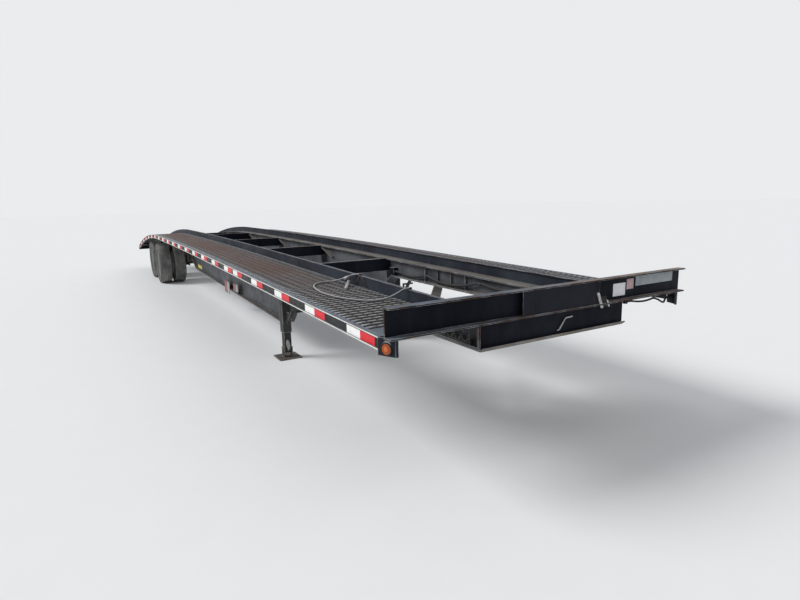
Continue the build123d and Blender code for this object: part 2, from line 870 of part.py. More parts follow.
def tube_along(path, radius):
    """A round bar or hose along a path."""
    return sweep(Plane(origin=path @ 0, z_dir=path % 0) * Circle(radius), path=path)


def cord_tube(name, points, radius):
    """A cord's tube of straight runs and arcs as large as its runs allow; prints its radii and volume ratio."""
    radii = []
    for a, b, c in zip(points, points[1:], points[2:]):
        half_turn = math.radians((b - a).get_angle(c - b)) / 2
        reach = cord_arc_share * min((b - a).length, (c - b).length)
        radii.append(reach / math.tan(half_turn))
    path = FilletPolyline(*points, radius=radii)
    tube = tube_along(path, radius)
    section = math.pi * radius**2
    print(name, "radii", [round(bend) for bend in radii])
    print(name, "length", round(path.length), "volume ratio", round(tube.volume / (section * path.length), 4))
    return tube


def lamp_place():
    """The plane of the left marker lamp's bracket, facing outward."""
    turn = math.radians(bracket_turn_deg)
    rear_x = front_x - rail_front_gap
    centre = Vector(rear_x + bracket_width * math.cos(turn) / 2, half_width - bracket_width * math.sin(turn) / 2,
                    front_beam_low - bracket_height / 2)
    return Plane(origin=centre, x_dir=(0, 0, 1), z_dir=Vector(math.sin(turn), math.cos(turn), 0))


def air_hoses():
    """The hose along the left neck and the one under the front beam, on their shelves and clips."""
    lamp = lamp_place()
    lamp_back = lamp.origin - lamp.z_dir * (bracket_thickness + lamp_lead)
    neck_hose = cord_tube("neck hose", [Vector(x, neck_hose_y, z) for x, z, _ in neck_hose_route], neck_hose_radius)
    front_points = [Vector(*point) for point in front_hose_route] + [lamp_back - lamp.z_dir * lamp_run, lamp_back]
    front_hose = cord_tube("front hose", front_points, front_hose_radius)
    write("air_hoses", neck_hose, front_hose)
    fittings = []
    lip_y = neck_hose_y - neck_hose_radius - shelf_thickness - shelf_clearance
    for x, _, shelved in neck_hose_route:
        if shelved:
            ends = (x - shelf_length / 2, x + shelf_length / 2)
            top = (neck_hose & block(*ends, 0, half_width, 0, 2 * neck_z)).bounding_box().min.Z
            shelf = block(*ends, lip_y, web_inner_y, top - shelf_thickness, top)
            fittings.append(shelf + block(*ends, lip_y, lip_y + shelf_thickness, top - shelf_thickness, top + shelf_lip))
    valve_x, valve_z, _ = neck_hose_route[0]
    fittings.append(block(valve_x - valve_length, valve_x, girder_inner_y, web_inner_y, valve_z - valve_height / 2,
                          valve_z + valve_height / 2))
    start = front_points[0]
    fittings.append(block(start.X - front_clip_half, start.X + front_clip_half, start.Y - front_clip_length, start.Y,
                          start.Z - front_clip_half, front_beam_low))
    held = front_points[front_clip_place]
    ends = (held.Y - front_clip_half / 2, held.Y + front_clip_half / 2)
    high = (front_hose & block(0, front_x, *ends, 0, 2 * neck_z)).bounding_box().max.Z
    fittings.append(block(held.X - front_clip_half, held.X + front_clip_half, *ends, high, front_beam_low))
    return fittings


def loose_cable():
    """The loose cable on the right runway, and the clips on the curb that it comes out of."""
    rise_on_curb = curb_height + cable_clip_height / 2
    exits = []
    level_ends = []
    clips = []
    for x, y, heading, level_run in cable_clips:
        turn = math.radians(heading)
        outward = Vector(-math.cos(turn), -math.sin(turn), 0)
        end = Vector(x, -y, deck_z(x) + rise_on_curb)
        centre = end - outward * (cable_clip_length / 2)
        exits.append(end)
        level_ends.append(end + outward * level_run)
        clips.append(Pos(centre.X, centre.Y, end.Z) * Rot(0, 0, heading)
                     * Box(cable_clip_length, cable_clip_width, cable_clip_height))
    middle = [Vector(x, -y, deck_z(x) + lift) for x, y, lift in cable_route]
    points = [exits[0], level_ends[0]] + middle + [level_ends[1], exits[1]]
    write("loose_cable", cord_tube("loose cable", points, cable_radius))
    return clips


def lamp_brackets():
    """Angled plates under the front beam's ends, each with a round marker lamp in a grommet."""
    turn = math.radians(bracket_turn_deg)
    rear_x = front_x - rail_front_gap
    corner_x = rear_x + bracket_width * math.cos(turn)
    corner_y = half_width - bracket_width * math.sin(turn)
    inner_corner_y = corner_y - bracket_thickness * math.cos(turn) / 2
    low = front_beam_low - bracket_height
    outline = Polyline(
        (rear_x, half_width, low), (corner_x, corner_y, low), (corner_x, corner_y - bracket_return, low),
        (corner_x - bracket_thickness, corner_y - bracket_return, low),
        (corner_x - bracket_thickness, inner_corner_y, low),
        (rear_x, half_width - bracket_thickness / math.cos(turn), low), close=True)
    plate = extrude(make_face(outline), amount=bracket_height, dir=(0, 0, 1))
    place = lamp_place()
    plate = plate - place * Cylinder(grommet_radius - grommet_groove, 6 * bracket_thickness)
    write("lamp_brackets", *both_sides(plate))
    grommet = place * Pos(0, 0, grommet_depth / 2) * Cylinder(grommet_radius, grommet_depth)
    grommet = grommet - place * Cylinder(lamp_radius + lamp_clearance, 6 * grommet_depth)
    lens = place * Pos(0, 0, lamp_depth / 2 - bracket_thickness) * Cylinder(lamp_radius, lamp_depth)
    write("lamp_grommets", *both_sides(grommet))
    write("marker_lamps", *both_sides(lens))


def square_post(size, z_low, z_high):
    """An upright square bar on a landing leg's axis."""
    half = size / 2
    return block(leg_x - half, leg_x + half, leg_y - half, leg_y + half, z_low, z_high)


def landing_legs():
    """Square landing legs beside the girders, with mounts on their webs."""
    half = leg_tube / 2
    top = deck_z(leg_x) - leg_top_drop
    tube = square_post(leg_tube, leg_tube_bottom, top)
    tube = tube - square_post(leg_tube - 2 * leg_wall, leg_tube_bottom - 1, top - leg_wall)
    mount_high = top - leg_mount_drop
    mount = block(leg_x - leg_mount_length / 2, leg_x + leg_mount_length / 2, girder_y + girder_web / 2,
                  leg_y - half, mount_high - leg_mount_height, mount_high)
    for name, side in SIDES:
        write(f"landing_leg_{name}", one_side(tube + mount, side))


def leg_feet():
    """The sliding posts of the legs, pinned to square feet between two ears."""
    slide = leg_post / 2
    foot_top = leg_foot_thickness
    pin_z = foot_top + (leg_foot_gap + leg_ear_height) / 2 + leg_pin_radius / 2
    bore = cylinder_y(leg_x, pin_z, leg_pin_radius + seat_clearance, 0, half_width)
    post = square_post(leg_post, foot_top + leg_foot_gap, leg_tube_bottom + leg_post_overlap) - bore
    post = post + square_post(leg_tube - 2 * leg_wall - 2 * leg_slide_gap, leg_tube_bottom + leg_collar_low,
                              leg_tube_bottom + leg_collar_high)
    pad = square_post(leg_foot_size, 0, foot_top)
    for y_low in (leg_y - slide - leg_ear_thickness, leg_y + slide):
        pad = pad + block(leg_x - slide, leg_x + slide, y_low, y_low + leg_ear_thickness,
                          foot_top, foot_top + leg_foot_gap + leg_ear_height)
    pad = pad + cylinder_y(leg_x, pin_z, leg_pin_radius, leg_y - slide, leg_y + slide)
    write("leg_feet", *both_sides(post, pad))


def leg_drive():
    """The cross shaft between the legs, and the gearbox and crank on the left leg."""
    half = leg_tube / 2
    write("leg_cross_shaft", cylinder_y(leg_x, leg_shaft_z, leg_shaft_radius, -leg_y + half, leg_y - half))
    box_low = leg_y + half
    box_high = box_low + gearbox_width
    arm_high = box_high + crank_arm_thickness * 2
    housing = block(leg_x - gearbox_length / 2, leg_x + gearbox_length / 2, box_low, box_high,
                    leg_shaft_z - gearbox_height / 2, leg_shaft_z + gearbox_height / 2)
    stub = cylinder_y(leg_x, leg_shaft_z, leg_shaft_radius, box_high, arm_high)
    arm = block(leg_x - crank_radius, leg_x + crank_radius, arm_high - crank_arm_thickness, arm_high,
                leg_shaft_z - leg_shaft_radius, leg_shaft_z + crank_throw)
    grip = cylinder_y(leg_x, leg_shaft_z + crank_throw - crank_radius, crank_radius, arm_high,
                      arm_high + crank_grip)
    write("leg_crank", housing + stub + arm + grip)


def leg_braces():
    """Slanted tubes from the legs' tubes forward and up to the necks' bottom flanges."""
    half = leg_tube / 2
    start = Vector(leg_x + half, leg_y, leg_brace_low)
    end = Vector(leg_x + leg_brace_reach, flange_edge_y - leg_brace_radius, neck_z)
    tube = sweep(Plane(origin=start, z_dir=end - start) * Circle(leg_brace_radius), path=Edge.make_line(start, end))
    tube = tube - block(leg_x - half, leg_x + half, 0, half_width, 0, neck_z)
    tube = tube - block(leg_x, leg_x + 2 * leg_brace_reach, 0, half_width, neck_z, 2 * neck_z)
    gusset = prism_y([(leg_x + half, leg_gusset_high), (leg_x + half + leg_gusset_reach, leg_gusset_high),
                      (leg_x + half, leg_gusset_low)], leg_y - leg_gusset_thickness / 2,
                     leg_y + leg_gusset_thickness / 2)
    write("leg_braces", *both_sides(tube + gusset))


def axles():
    """Axle tubes with spindles, and the brake backing plates on them."""
    spindle_reach = dual_centre_y + spindle_end
    plate_radius = drum_radius - drum_wall - backing_plate_gap
    tube_reach = backing_y - backing_plate_thickness
    for name, x in AXLES:
        axle = cylinder_y(x, axle_z, axle_tube_radius, -tube_reach, tube_reach)
        axle = axle + cylinder_y(x, axle_z, spindle_radius, -spindle_reach, spindle_reach)
        for y_low in (-backing_y, tube_reach):
            axle = axle + cylinder_y(x, axle_z, plate_radius, y_low, y_low + backing_plate_thickness)
        write(f"axle_{name}", axle)


def tyre_profile(centre_y):
    """Corners of a tyre's section as (y, radius)."""
    half_profile = (
        # half width, radius
        (tyre_bead_width / 2, tyre_bead_radius),
        (tyre_width / 2, tyre_belly_radius),
        (tyre_tread_width / 2, tyre_radius),
    )
    inner = [(centre_y - half, radius) for half, radius in half_profile]
    outer = [(centre_y + half, radius) for half, radius in reversed(half_profile)]
    return inner + outer


def rim_profile(side):
    """Corners of a rim with its dished disc as (y, radius), on the outer (1) or inner (-1) side."""
    centre_y = dual_centre_y + side * dual_spacing / 2
    near_y = centre_y - side * rim_width / 2
    far_y = centre_y + side * rim_width / 2
    seat_radius = tyre_bead_radius - rim_clearance
    inside_radius = seat_radius - rim_wall
    step_y = dual_centre_y + side * disc_step
    dish_y = dual_centre_y + side * disc_dish
    thickness = side * disc_thickness
    disc = [(dual_centre_y, hub_radius), (dual_centre_y, disc_flat_radius), (step_y, disc_step_radius),
            (step_y, disc_outer_radius), (dish_y, inside_radius)]
    barrel = [(near_y, inside_radius), (near_y, seat_radius), (far_y, seat_radius), (far_y, inside_radius)]
    far_face = [(y + thickness, radius) for y, radius in reversed(disc)]
    return disc + barrel + far_face


def hub_profile():
    """Corners of the hub and its brake drum as (y, radius), bored for the spindle."""
    bore = spindle_radius + spindle_clearance
    cap_end = dual_centre_y + hub_cap_length
    pocket_end = dual_centre_y + spindle_end + hanger_play
    hub_end = drum_face_y + hub_length
    shoulder_y = drum_face_y - drum_shoulder
    return [
        (drum_low_y, drum_radius), (shoulder_y, drum_radius), (drum_face_y, drum_seat_radius),
        (drum_face_y, hub_radius), (hub_end, hub_radius), (hub_end, hub_cap_radius),
        (cap_end - hub_cap_bevel, hub_cap_radius), (cap_end, hub_cap_radius - hub_cap_bevel), (cap_end, 0),
        (pocket_end, 0), (pocket_end, bore), (drum_face_y - drum_wall, bore),
        (drum_face_y - drum_wall, drum_seat_radius - drum_wall / 2),
        (shoulder_y - drum_wall / 2, drum_radius - drum_wall), (drum_low_y, drum_radius - drum_wall)]


def wheels():
    """Dual wheels: two tyres, and two rims on one hub and drum, with hand holes in their discs."""
    holes_low = dual_centre_y - disc_dish - disc_thickness
    holes_high = dual_centre_y + disc_dish + disc_thickness
    for axle, x in AXLES:
        tyres = [revolve_y(tyre_profile(dual_centre_y + side * dual_spacing / 2), x, axle_z) for side in (-1, 1)]
        rims = revolve_y(rim_profile(-1), x, axle_z) + revolve_y(rim_profile(1), x, axle_z)
        for number in range(hand_hole_count):
            angle = 2 * math.pi * number / hand_hole_count
            rims = rims - cylinder_y(x + hand_hole_circle * math.cos(angle),
                                     axle_z + hand_hole_circle * math.sin(angle),
                                     hand_hole_radius, holes_low, holes_high)
        wheel = rims + revolve_y(hub_profile(), x, axle_z)
        for name, side in SIDES:
            write(f"tyres_{axle}_{name}", *[one_side(tyre, side) for tyre in tyres])
            write(f"wheel_{axle}_{name}", one_side(wheel, side))


def leaf_arc(x, half_length, height):
    """Three points of one leaf's face: its front end, its middle and its rear end."""
    lift = spring_camber * (half_length / spring_half_length) ** 2
    return [Vector(x + half_length, 0, height + lift), Vector(x, 0, height), Vector(x - half_length, 0, height + lift)]


def leaf_springs():
    """Leaf spring packs over the axles, under the girders."""
    packs = []
    for _, x in AXLES:
        pack = None
        for leaf in range(spring_leaves):
            half_length = spring_half_length * (1 - leaf_step * leaf)
            low = spring_low_z + spring_pack - (leaf + 1) * spring_leaf
            top = leaf_arc(x, half_length, low + spring_leaf)
            bottom = leaf_arc(x, half_length, low)
            edges = [Edge.make_three_point_arc(*top), Edge.make_line(top[2], bottom[2]),
                     Edge.make_three_point_arc(*reversed(bottom)), Edge.make_line(bottom[0], top[0])]
            solid = plate_xz(edges, girder_y - spring_width / 2, girder_y + spring_width / 2)
            pack = solid if pack is None else pack + solid
        packs.append(pack)
    write("leaf_springs", *both_sides(*packs))


def axle_clamps():
    """Saddles under the springs, and clamp plates above and below, tied by their bolts."""
    low_y = girder_y - spring_width / 2
    high_y = girder_y + spring_width / 2
    reach = spring_width / 2 + 2 * ubolt_radius + clamp_margin
    lift = spring_camber * (saddle_half / spring_half_length) ** 2
    clamp_low = spring_low_z + spring_pack + lift + seat_clearance
    under_high = axle_z - axle_tube_radius - seat_clearance
    solids = []
    for _, x in AXLES:
        saddle = block(x - saddle_half, x + saddle_half, low_y, high_y, axle_z - saddle_drop, spring_low_z)
        solids.append(saddle - cylinder_y(x, axle_z, axle_tube_radius + seat_clearance, low_y - 1, high_y + 1))
        clamp = block(x - saddle_half, x + saddle_half, girder_y - reach, girder_y + reach,
                      clamp_low, clamp_low + ubolt_plate)
        clamp = clamp + block(x - saddle_half, x + saddle_half, girder_y - reach, girder_y + reach,
                              under_high - ubolt_plate, under_high)
        for bolt_x in (x - ubolt_reach, x + ubolt_reach):
            for bolt_y in (low_y - ubolt_radius - ubolt_gap, high_y + ubolt_radius + ubolt_gap):
                clamp = clamp + cylinder_z(bolt_x, bolt_y, ubolt_radius, under_high, clamp_low)
        solids.append(clamp)
    write("axle_clamps", *both_sides(*solids))


def hangers():
    """Spring hangers under the girders: front, middle with its rocker's pin, and rear."""
    gap = spring_width / 2 + hanger_play
    half = hanger_length / 2
    cap_low = seat_z - hanger_thickness
    cam_z = spring_end_z + seat_clearance + cam_radius
    shoulder_z = spring_end_z - hanger_shoulder
    solids = []
    for kind, x in hanger_places:
        outline = [(x - half, seat_z), (x + half, seat_z), (x + half, shoulder_z), (x + half / 2, seat_z - hanger_drop),
                   (x - half / 2, seat_z - hanger_drop), (x - half, shoulder_z)]
        hanger = prism_y(outline, girder_y + gap, girder_y + gap + hanger_thickness)
        hanger = hanger + prism_y(outline, girder_y - gap - hanger_thickness, girder_y - gap)
        hanger = hanger + block(x - half, x + half, girder_y - gap, girder_y + gap, cap_low, seat_z)
        if kind == "middle":
            hanger = hanger + cylinder_y(x, spring_end_z - rocker_pin_drop, rocker_pin_radius,
                                         girder_y - gap, girder_y + gap)
        else:
            hanger = hanger + cylinder_y(x, cam_z, cam_radius, girder_y - gap, girder_y + gap)
            hanger = hanger + block(x - cam_rib / 2, x + cam_rib / 2, girder_y - gap, girder_y + gap, cam_z, cap_low)
        solids.append(hanger)
    write("spring_hangers", *both_sides(*solids))


def rockers():
    """Rockers on the middle hangers' pins, which share the load of the springs' inner ends."""
    pivot_z = spring_end_z - rocker_pin_drop
    half = rocker_length / 2
    high = seat_z - hanger_thickness - rocker_clearance
    tip_low = spring_end_z + seat_clearance
    half_outline = (
        # reach, z
        (half, tip_low),
        (half, tip_low + rocker_tip),
        (half * 0.3, high),
    )
    front = [(middle_x + reach, z) for reach, z in half_outline]
    rear = [(middle_x - reach, z) for reach, z in reversed(half_outline)]
    belly = [(middle_x - rocker_boss - rocker_clearance, tip_low), (middle_x - rocker_boss, pivot_z - rocker_boss),
             (middle_x + rocker_boss, pivot_z - rocker_boss), (middle_x + rocker_boss + rocker_clearance, tip_low)]
    rocker = prism_y(front + rear + belly, girder_y - spring_width / 2, girder_y + spring_width / 2)
    rocker = rocker - cylinder_y(middle_x, pivot_z, rocker_pin_radius + seat_clearance, 0, half_width)
    write("spring_rockers", *both_sides(rocker))


def torque_rods():
    """Rods from the lower ends of the front and middle hangers back to the axles' saddles."""
    pin_z = seat_z - hanger_drop + rod_pin_rise
    gap = spring_width / 2 + hanger_play
    rods = []
    for (_, x), (_, axle_x) in zip(hanger_places, AXLES):
        start = Vector(x, girder_y, pin_z)
        end = Vector(axle_x, girder_y, rod_end_z)
        rod = tube_along(Edge.make_line(start, end), rod_radius)
        rod = rod + cylinder_y(x, pin_z, rod_eye_radius, girder_y - rod_eye_half, girder_y + rod_eye_half)
        rod = rod + cylinder_y(x, pin_z, rod_pin_radius, girder_y - gap, girder_y + gap)
        rods.append(rod - block(axle_x - saddle_half, axle_x + saddle_half, 0, half_width, 0, seat_z))
    write("torque_rods", *both_sides(*rods))


def brakes():
    """Brake chambers behind the axles, with brackets, slack arms and camshafts."""
    z = axle_z + chamber_rise
    shaft_z = axle_z - camshaft_drop
    slack_y = chamber_y + slack_y_offset
    solids = []
    for _, x in AXLES:
        middle = x - chamber_offset
        front = middle + chamber_length / 2
        rear_of_tube = x - axle_tube_radius
        shaft_x = x - camshaft_offset
        chamber = cylinder_x(chamber_y, z, chamber_radius, middle - chamber_length / 2, front)
        chamber = chamber + cylinder_x(chamber_y, z, chamber_radius + chamber_band,
                                       middle - chamber_band_width / 2, middle + chamber_band_width / 2)
        chamber = chamber + block(rear_of_tube - chamber_bracket, rear_of_tube, chamber_y - chamber_plate_half,
                                  chamber_y + chamber_plate_half, axle_z - chamber_neck_half, z + chamber_plate_half)
        chamber = chamber + block(front, rear_of_tube, chamber_y - chamber_neck_half, chamber_y + chamber_neck_half,
                                  z - chamber_neck_half, z + chamber_neck_half)
        shaft = cylinder_y(shaft_x, shaft_z, camshaft_radius, slack_y, backing_y - backing_plate_thickness)
        shaft = shaft + block(shaft_x - slack_width / 2, shaft_x + slack_width / 2, slack_y, slack_y + slack_thickness,
                              shaft_z - camshaft_radius, shaft_z + slack_arm)
        solids += [chamber, shaft]
    write("brake_chambers", *both_sides(*solids))


def air_tank():
    """Air tank across the frame under the last cross-member of the deep girders, on two saddles."""
    member_x = min(x for x in member_places() if x > seat_x + taper_length / 2)
    x = member_x - member_flange / 2
    strap_high = member_low(member_x)
    z = strap_high - tank_gap - tank_radius
    tank = cylinder_y(x, z, tank_radius, -tank_length / 2, tank_length / 2)
    for place in (-tank_length / 4, tank_length / 4):
        tank = tank + block(x - member_flange / 2, x + member_flange / 2, place - tank_strap / 2,
                            place + tank_strap / 2, z, strap_high)
    write("air_tank", tank)


def tail():
    """Tail beam between the rails' ends, with its lamps set into its rear wall."""
    high = deck_z(tail_front_x) - tail_beam_drop
    low = high - tail_beam_depth
    beam = block(tail_x, tail_front_x, -half_width, half_width, low, high)
    beam = beam - block(tail_x + tail_beam_wall, tail_front_x - tail_beam_wall, -half_width - 1, half_width + 1,
                        low + tail_beam_wall, high - tail_beam_wall)
    lamp_z = (low + high) / 2
    lamp_x = tail_x + tail_lamp_recess
    places = [half_width - tail_lamp_inset - number * tail_lamp_pitch for number in range(tail_lamp_count)]
    lamps = []
    for y in places + [-y for y in places]:
        beam = beam - cylinder_x(y, lamp_z, tail_lamp_radius + tail_lamp_clearance, tail_x - 1,
                                 tail_x + tail_beam_wall + 1)
        lamps.append(cylinder_x(y, lamp_z, tail_lamp_radius, lamp_x, lamp_x + tail_lamp_depth))
    write("tail_beam", beam)
    write("tail_lamps", *lamps)


def main():
    """Writes every sub-part."""
    os.makedirs("parts", exist_ok=True)
    front_beam()
    front_plates()
    side_rails()
    girders()
    curbs()
    runways()
    cross_members()
    neck_brace()
    outriggers()
    coupler()
    coupler_sides()
    front_fittings()
    write("cord_fittings", *air_hoses(), *loose_cable())
    lamp_brackets()
    landing_legs()
    leg_feet()
    leg_drive()
    leg_braces()
    axles()
    wheels()
    leaf_springs()
    axle_clamps()
    hangers()
    rockers()
    torque_rods()
    brakes()
    air_tank()
    tail()


main()
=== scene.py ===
"""Looks of a two-runway car hauling semi-trailer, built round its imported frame.

Metres. +X points forward to the coupler, +Y to the left, +Z up, as in the frame.
"""
import json
import math

import bmesh
import bpy
from mathutils import Matrix, Vector


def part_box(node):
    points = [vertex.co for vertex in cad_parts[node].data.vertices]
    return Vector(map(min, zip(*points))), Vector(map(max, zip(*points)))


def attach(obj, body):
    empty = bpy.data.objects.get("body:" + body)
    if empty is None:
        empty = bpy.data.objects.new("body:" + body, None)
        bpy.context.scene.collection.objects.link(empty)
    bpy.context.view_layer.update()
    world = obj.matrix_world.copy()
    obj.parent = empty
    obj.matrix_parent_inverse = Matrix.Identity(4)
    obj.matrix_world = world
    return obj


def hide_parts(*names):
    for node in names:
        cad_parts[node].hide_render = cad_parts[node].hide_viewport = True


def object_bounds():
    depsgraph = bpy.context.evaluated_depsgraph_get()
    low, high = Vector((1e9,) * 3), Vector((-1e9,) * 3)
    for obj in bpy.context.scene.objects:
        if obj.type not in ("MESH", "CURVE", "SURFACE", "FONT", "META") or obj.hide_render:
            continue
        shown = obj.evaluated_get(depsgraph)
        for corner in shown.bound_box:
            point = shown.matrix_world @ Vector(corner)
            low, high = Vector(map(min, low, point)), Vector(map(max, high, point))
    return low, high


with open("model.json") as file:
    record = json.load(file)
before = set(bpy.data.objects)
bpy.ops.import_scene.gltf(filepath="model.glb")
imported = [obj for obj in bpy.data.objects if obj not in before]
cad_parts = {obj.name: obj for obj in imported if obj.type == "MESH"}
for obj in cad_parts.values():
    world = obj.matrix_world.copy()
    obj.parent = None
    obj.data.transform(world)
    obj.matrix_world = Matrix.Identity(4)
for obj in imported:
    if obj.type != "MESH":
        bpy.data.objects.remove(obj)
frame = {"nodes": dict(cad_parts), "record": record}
cad_low, cad_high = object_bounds()

# Camera, as the photograph was taken
camera_place = (9.71, -2.619, 1.76)
camera_yaw = 0.5277
camera_pitch = 0.1838
camera_roll = -0.0232
focal_pixels = 535.7
image_width = 800
sensor_width = 36.0

# Stage
floor_half = 140.0
floor_grey = 0.80
backdrop_colour = (0.825, 0.838, 0.846)
sky_light = 0.46

# Loose cable over the right curb, which lies on the runway between its two clips
cable_radius = 0.007
clip_rise = 0.096
cable_clips = (
    # x, y of the clip's outer face on the curb, heading from rearward to outboard, level run
    (5.662, 0.647, 22.0, 0.040),
    (6.466, 0.651, 64.0, 0.030),
)
cable_route = (
    # x, y, height over the deck line
    (5.550, 0.694, 0.072),
    (5.470, 0.730, 0.038),
    (5.402, 0.774, 0.014),
    (5.362, 0.836, 0.008),
    (5.376, 0.912, 0.008),
    (5.440, 0.975, 0.008),
    (5.552, 1.022, 0.008),
    (5.700, 1.050, 0.008),
    (5.850, 1.060, 0.008),
    (5.990, 1.050, 0.008),
    (6.120, 1.018, 0.008),
    (6.235, 0.962, 0.008),
    (6.312, 0.903, 0.008),
    (6.362, 0.838, 0.013),
    (6.400, 0.772, 0.034),
    (6.430, 0.722, 0.064),
)

# Side rails' recesses and their tape
rail_recess = 0.010
tape_drop = 0.043
tape_thickness = 0.0008
tape_height = 0.052
tape_length = 0.185
tape_gap = 0.001
# Depth of the rails' outermost faces that take a painted highlight
toe_depth = 0.0016

# Deck grating
bead_columns = 8
bar_pitch = 0.066
bar_base = 0.036
bar_crown = 0.013
bar_end = 0.034
bar_depth = 0.010
bar_bottom = 0.021
bead_dip = 0.0052
ribbon_width = 0.013
ribbon_top = 0.0135
ribbon_bottom = 0.0175
edge_strip = 0.018
tray_depth = 0.034
tray_walls = 4
wall_thickness = 0.004

# Painted plate that ends a runway's grating, where its length reaches beyond a place
end_plate_beyond = 7.0
end_plate_length = 0.185
end_plate_top = 0.0065
end_plate_bottom = 0.0125

# Runways across the trailer, the painted highlight on the ends of their bars, and the rust down their middles
runway_inner_y = 0.660
runway_middle_y = 0.955
runway_side_inset = 0.042
end_blend = 0.004
rust_full_x = 4.2
rust_gone_x = 6.2
rust_full_width = 0.10
rust_gone_width = 0.30

# Lamps
lamp_turn = math.radians(24.0)
lamp_place = (7.2407, 1.2707, 0.9668)
marker_lens_radius = 0.032
tail_lens_radius = 0.044
tail_lamp_places = (0.8055, 0.9555, 1.1055)

# Tyres and wheels
dual_spacing = 0.300
tyre_pitches = 64
groove_depth = 0.012
notch_depth = 0.008
nut_count = 10
nut_circle = 0.1425
nut_radius = 0.0185
nut_height = 0.024
disc_face_offset = 0.011
hub_face_offset = 0.041
hub_bolt_count = 8
hub_bolt_circle = 0.100
hub_bolt_radius = 0.0085
hub_bolt_height = 0.009

# Running gear, as the part has it
axle_places = (-3.785, -5.035)
spring_y = 0.585
spring_half_width = 0.038
clamp_low = 0.3777
clamp_high = 0.6174
clamp_bolt_along = 0.080
clamp_bolt_across = 0.050
clamp_nut_radius = 0.0155
clamp_nut_height = 0.018
clamp_head_height = 0.014
leaf_low = 0.561
leaf_high = 0.600
leaf_curve = 0.1212
clip_place = 0.255
clip_half_length = 0.015
clip_room = 0.006
clip_thickness = 0.005

# Landing legs and their bolts, whose sizes are a head's radius and its height
leg_y = 0.730
leg_face_x = 3.887
gear_case_width = 0.052
gear_bolt_along = 0.034
gear_bolt_rises = (0.016, 0.075, 0.134)
gear_bolt_size = (0.0075, 0.006)
foot_bolt_across = 0.052
foot_bolt_z = 0.100
foot_bolt_size = (0.012, 0.008)
mount_bolt_along = 0.0445
mount_bolt_y = 0.640
mount_bolt_heights = (0.775, 0.845, 0.915)
mount_bolt_size = (0.009, 0.007)

# Welds of the outriggers
weld_last_x = 7.1
weld_drop = 0.040
weld_length = 0.030
weld_radius = 0.0030
weld_step = 0.004
weld_girder_y = 0.5915
weld_rail_inset = 0.0395

half_width = cad_high.y
BODY = "frame"


# Reading the frame

def upper_line(node):
    """The node's top edge along the trailer, as (x, z) corners from the rear."""
    tops = {}
    for vertex in frame["nodes"][node].data.vertices:
        x = round(vertex.co.x, 4)
        tops[x] = max(tops.get(x, vertex.co.z), vertex.co.z)
    line = []
    for x, z in sorted(tops.items()):
        while len(line) > 1:
            (ax, az), (bx, bz) = line[-2], line[-1]
            if (bx - ax) * (z - az) - (bz - az) * (x - ax) < 0:
                break
            line.pop()
        line.append((x, z))
    return line


deck_line = upper_line("side_rail_left")


def deck_z(x):
    """Height of the deck line at a place along the trailer."""
    for (ax, az), (bx, bz) in zip(deck_line, deck_line[1:]):
        if x <= bx:
            break
    return az + (bz - az) * (x - ax) / (bx - ax)


def deck_slope(x):
    """Angle of the deck line, positive where it rises to the front."""
    step = 0.05
    return math.atan2(deck_z(x + step) - deck_z(x - step), 2 * step)


# Making meshes

def placed(name, data):
    """A new object in the scene."""
    item = bpy.data.objects.new(name, data)
    bpy.context.scene.collection.objects.link(item)
    return item


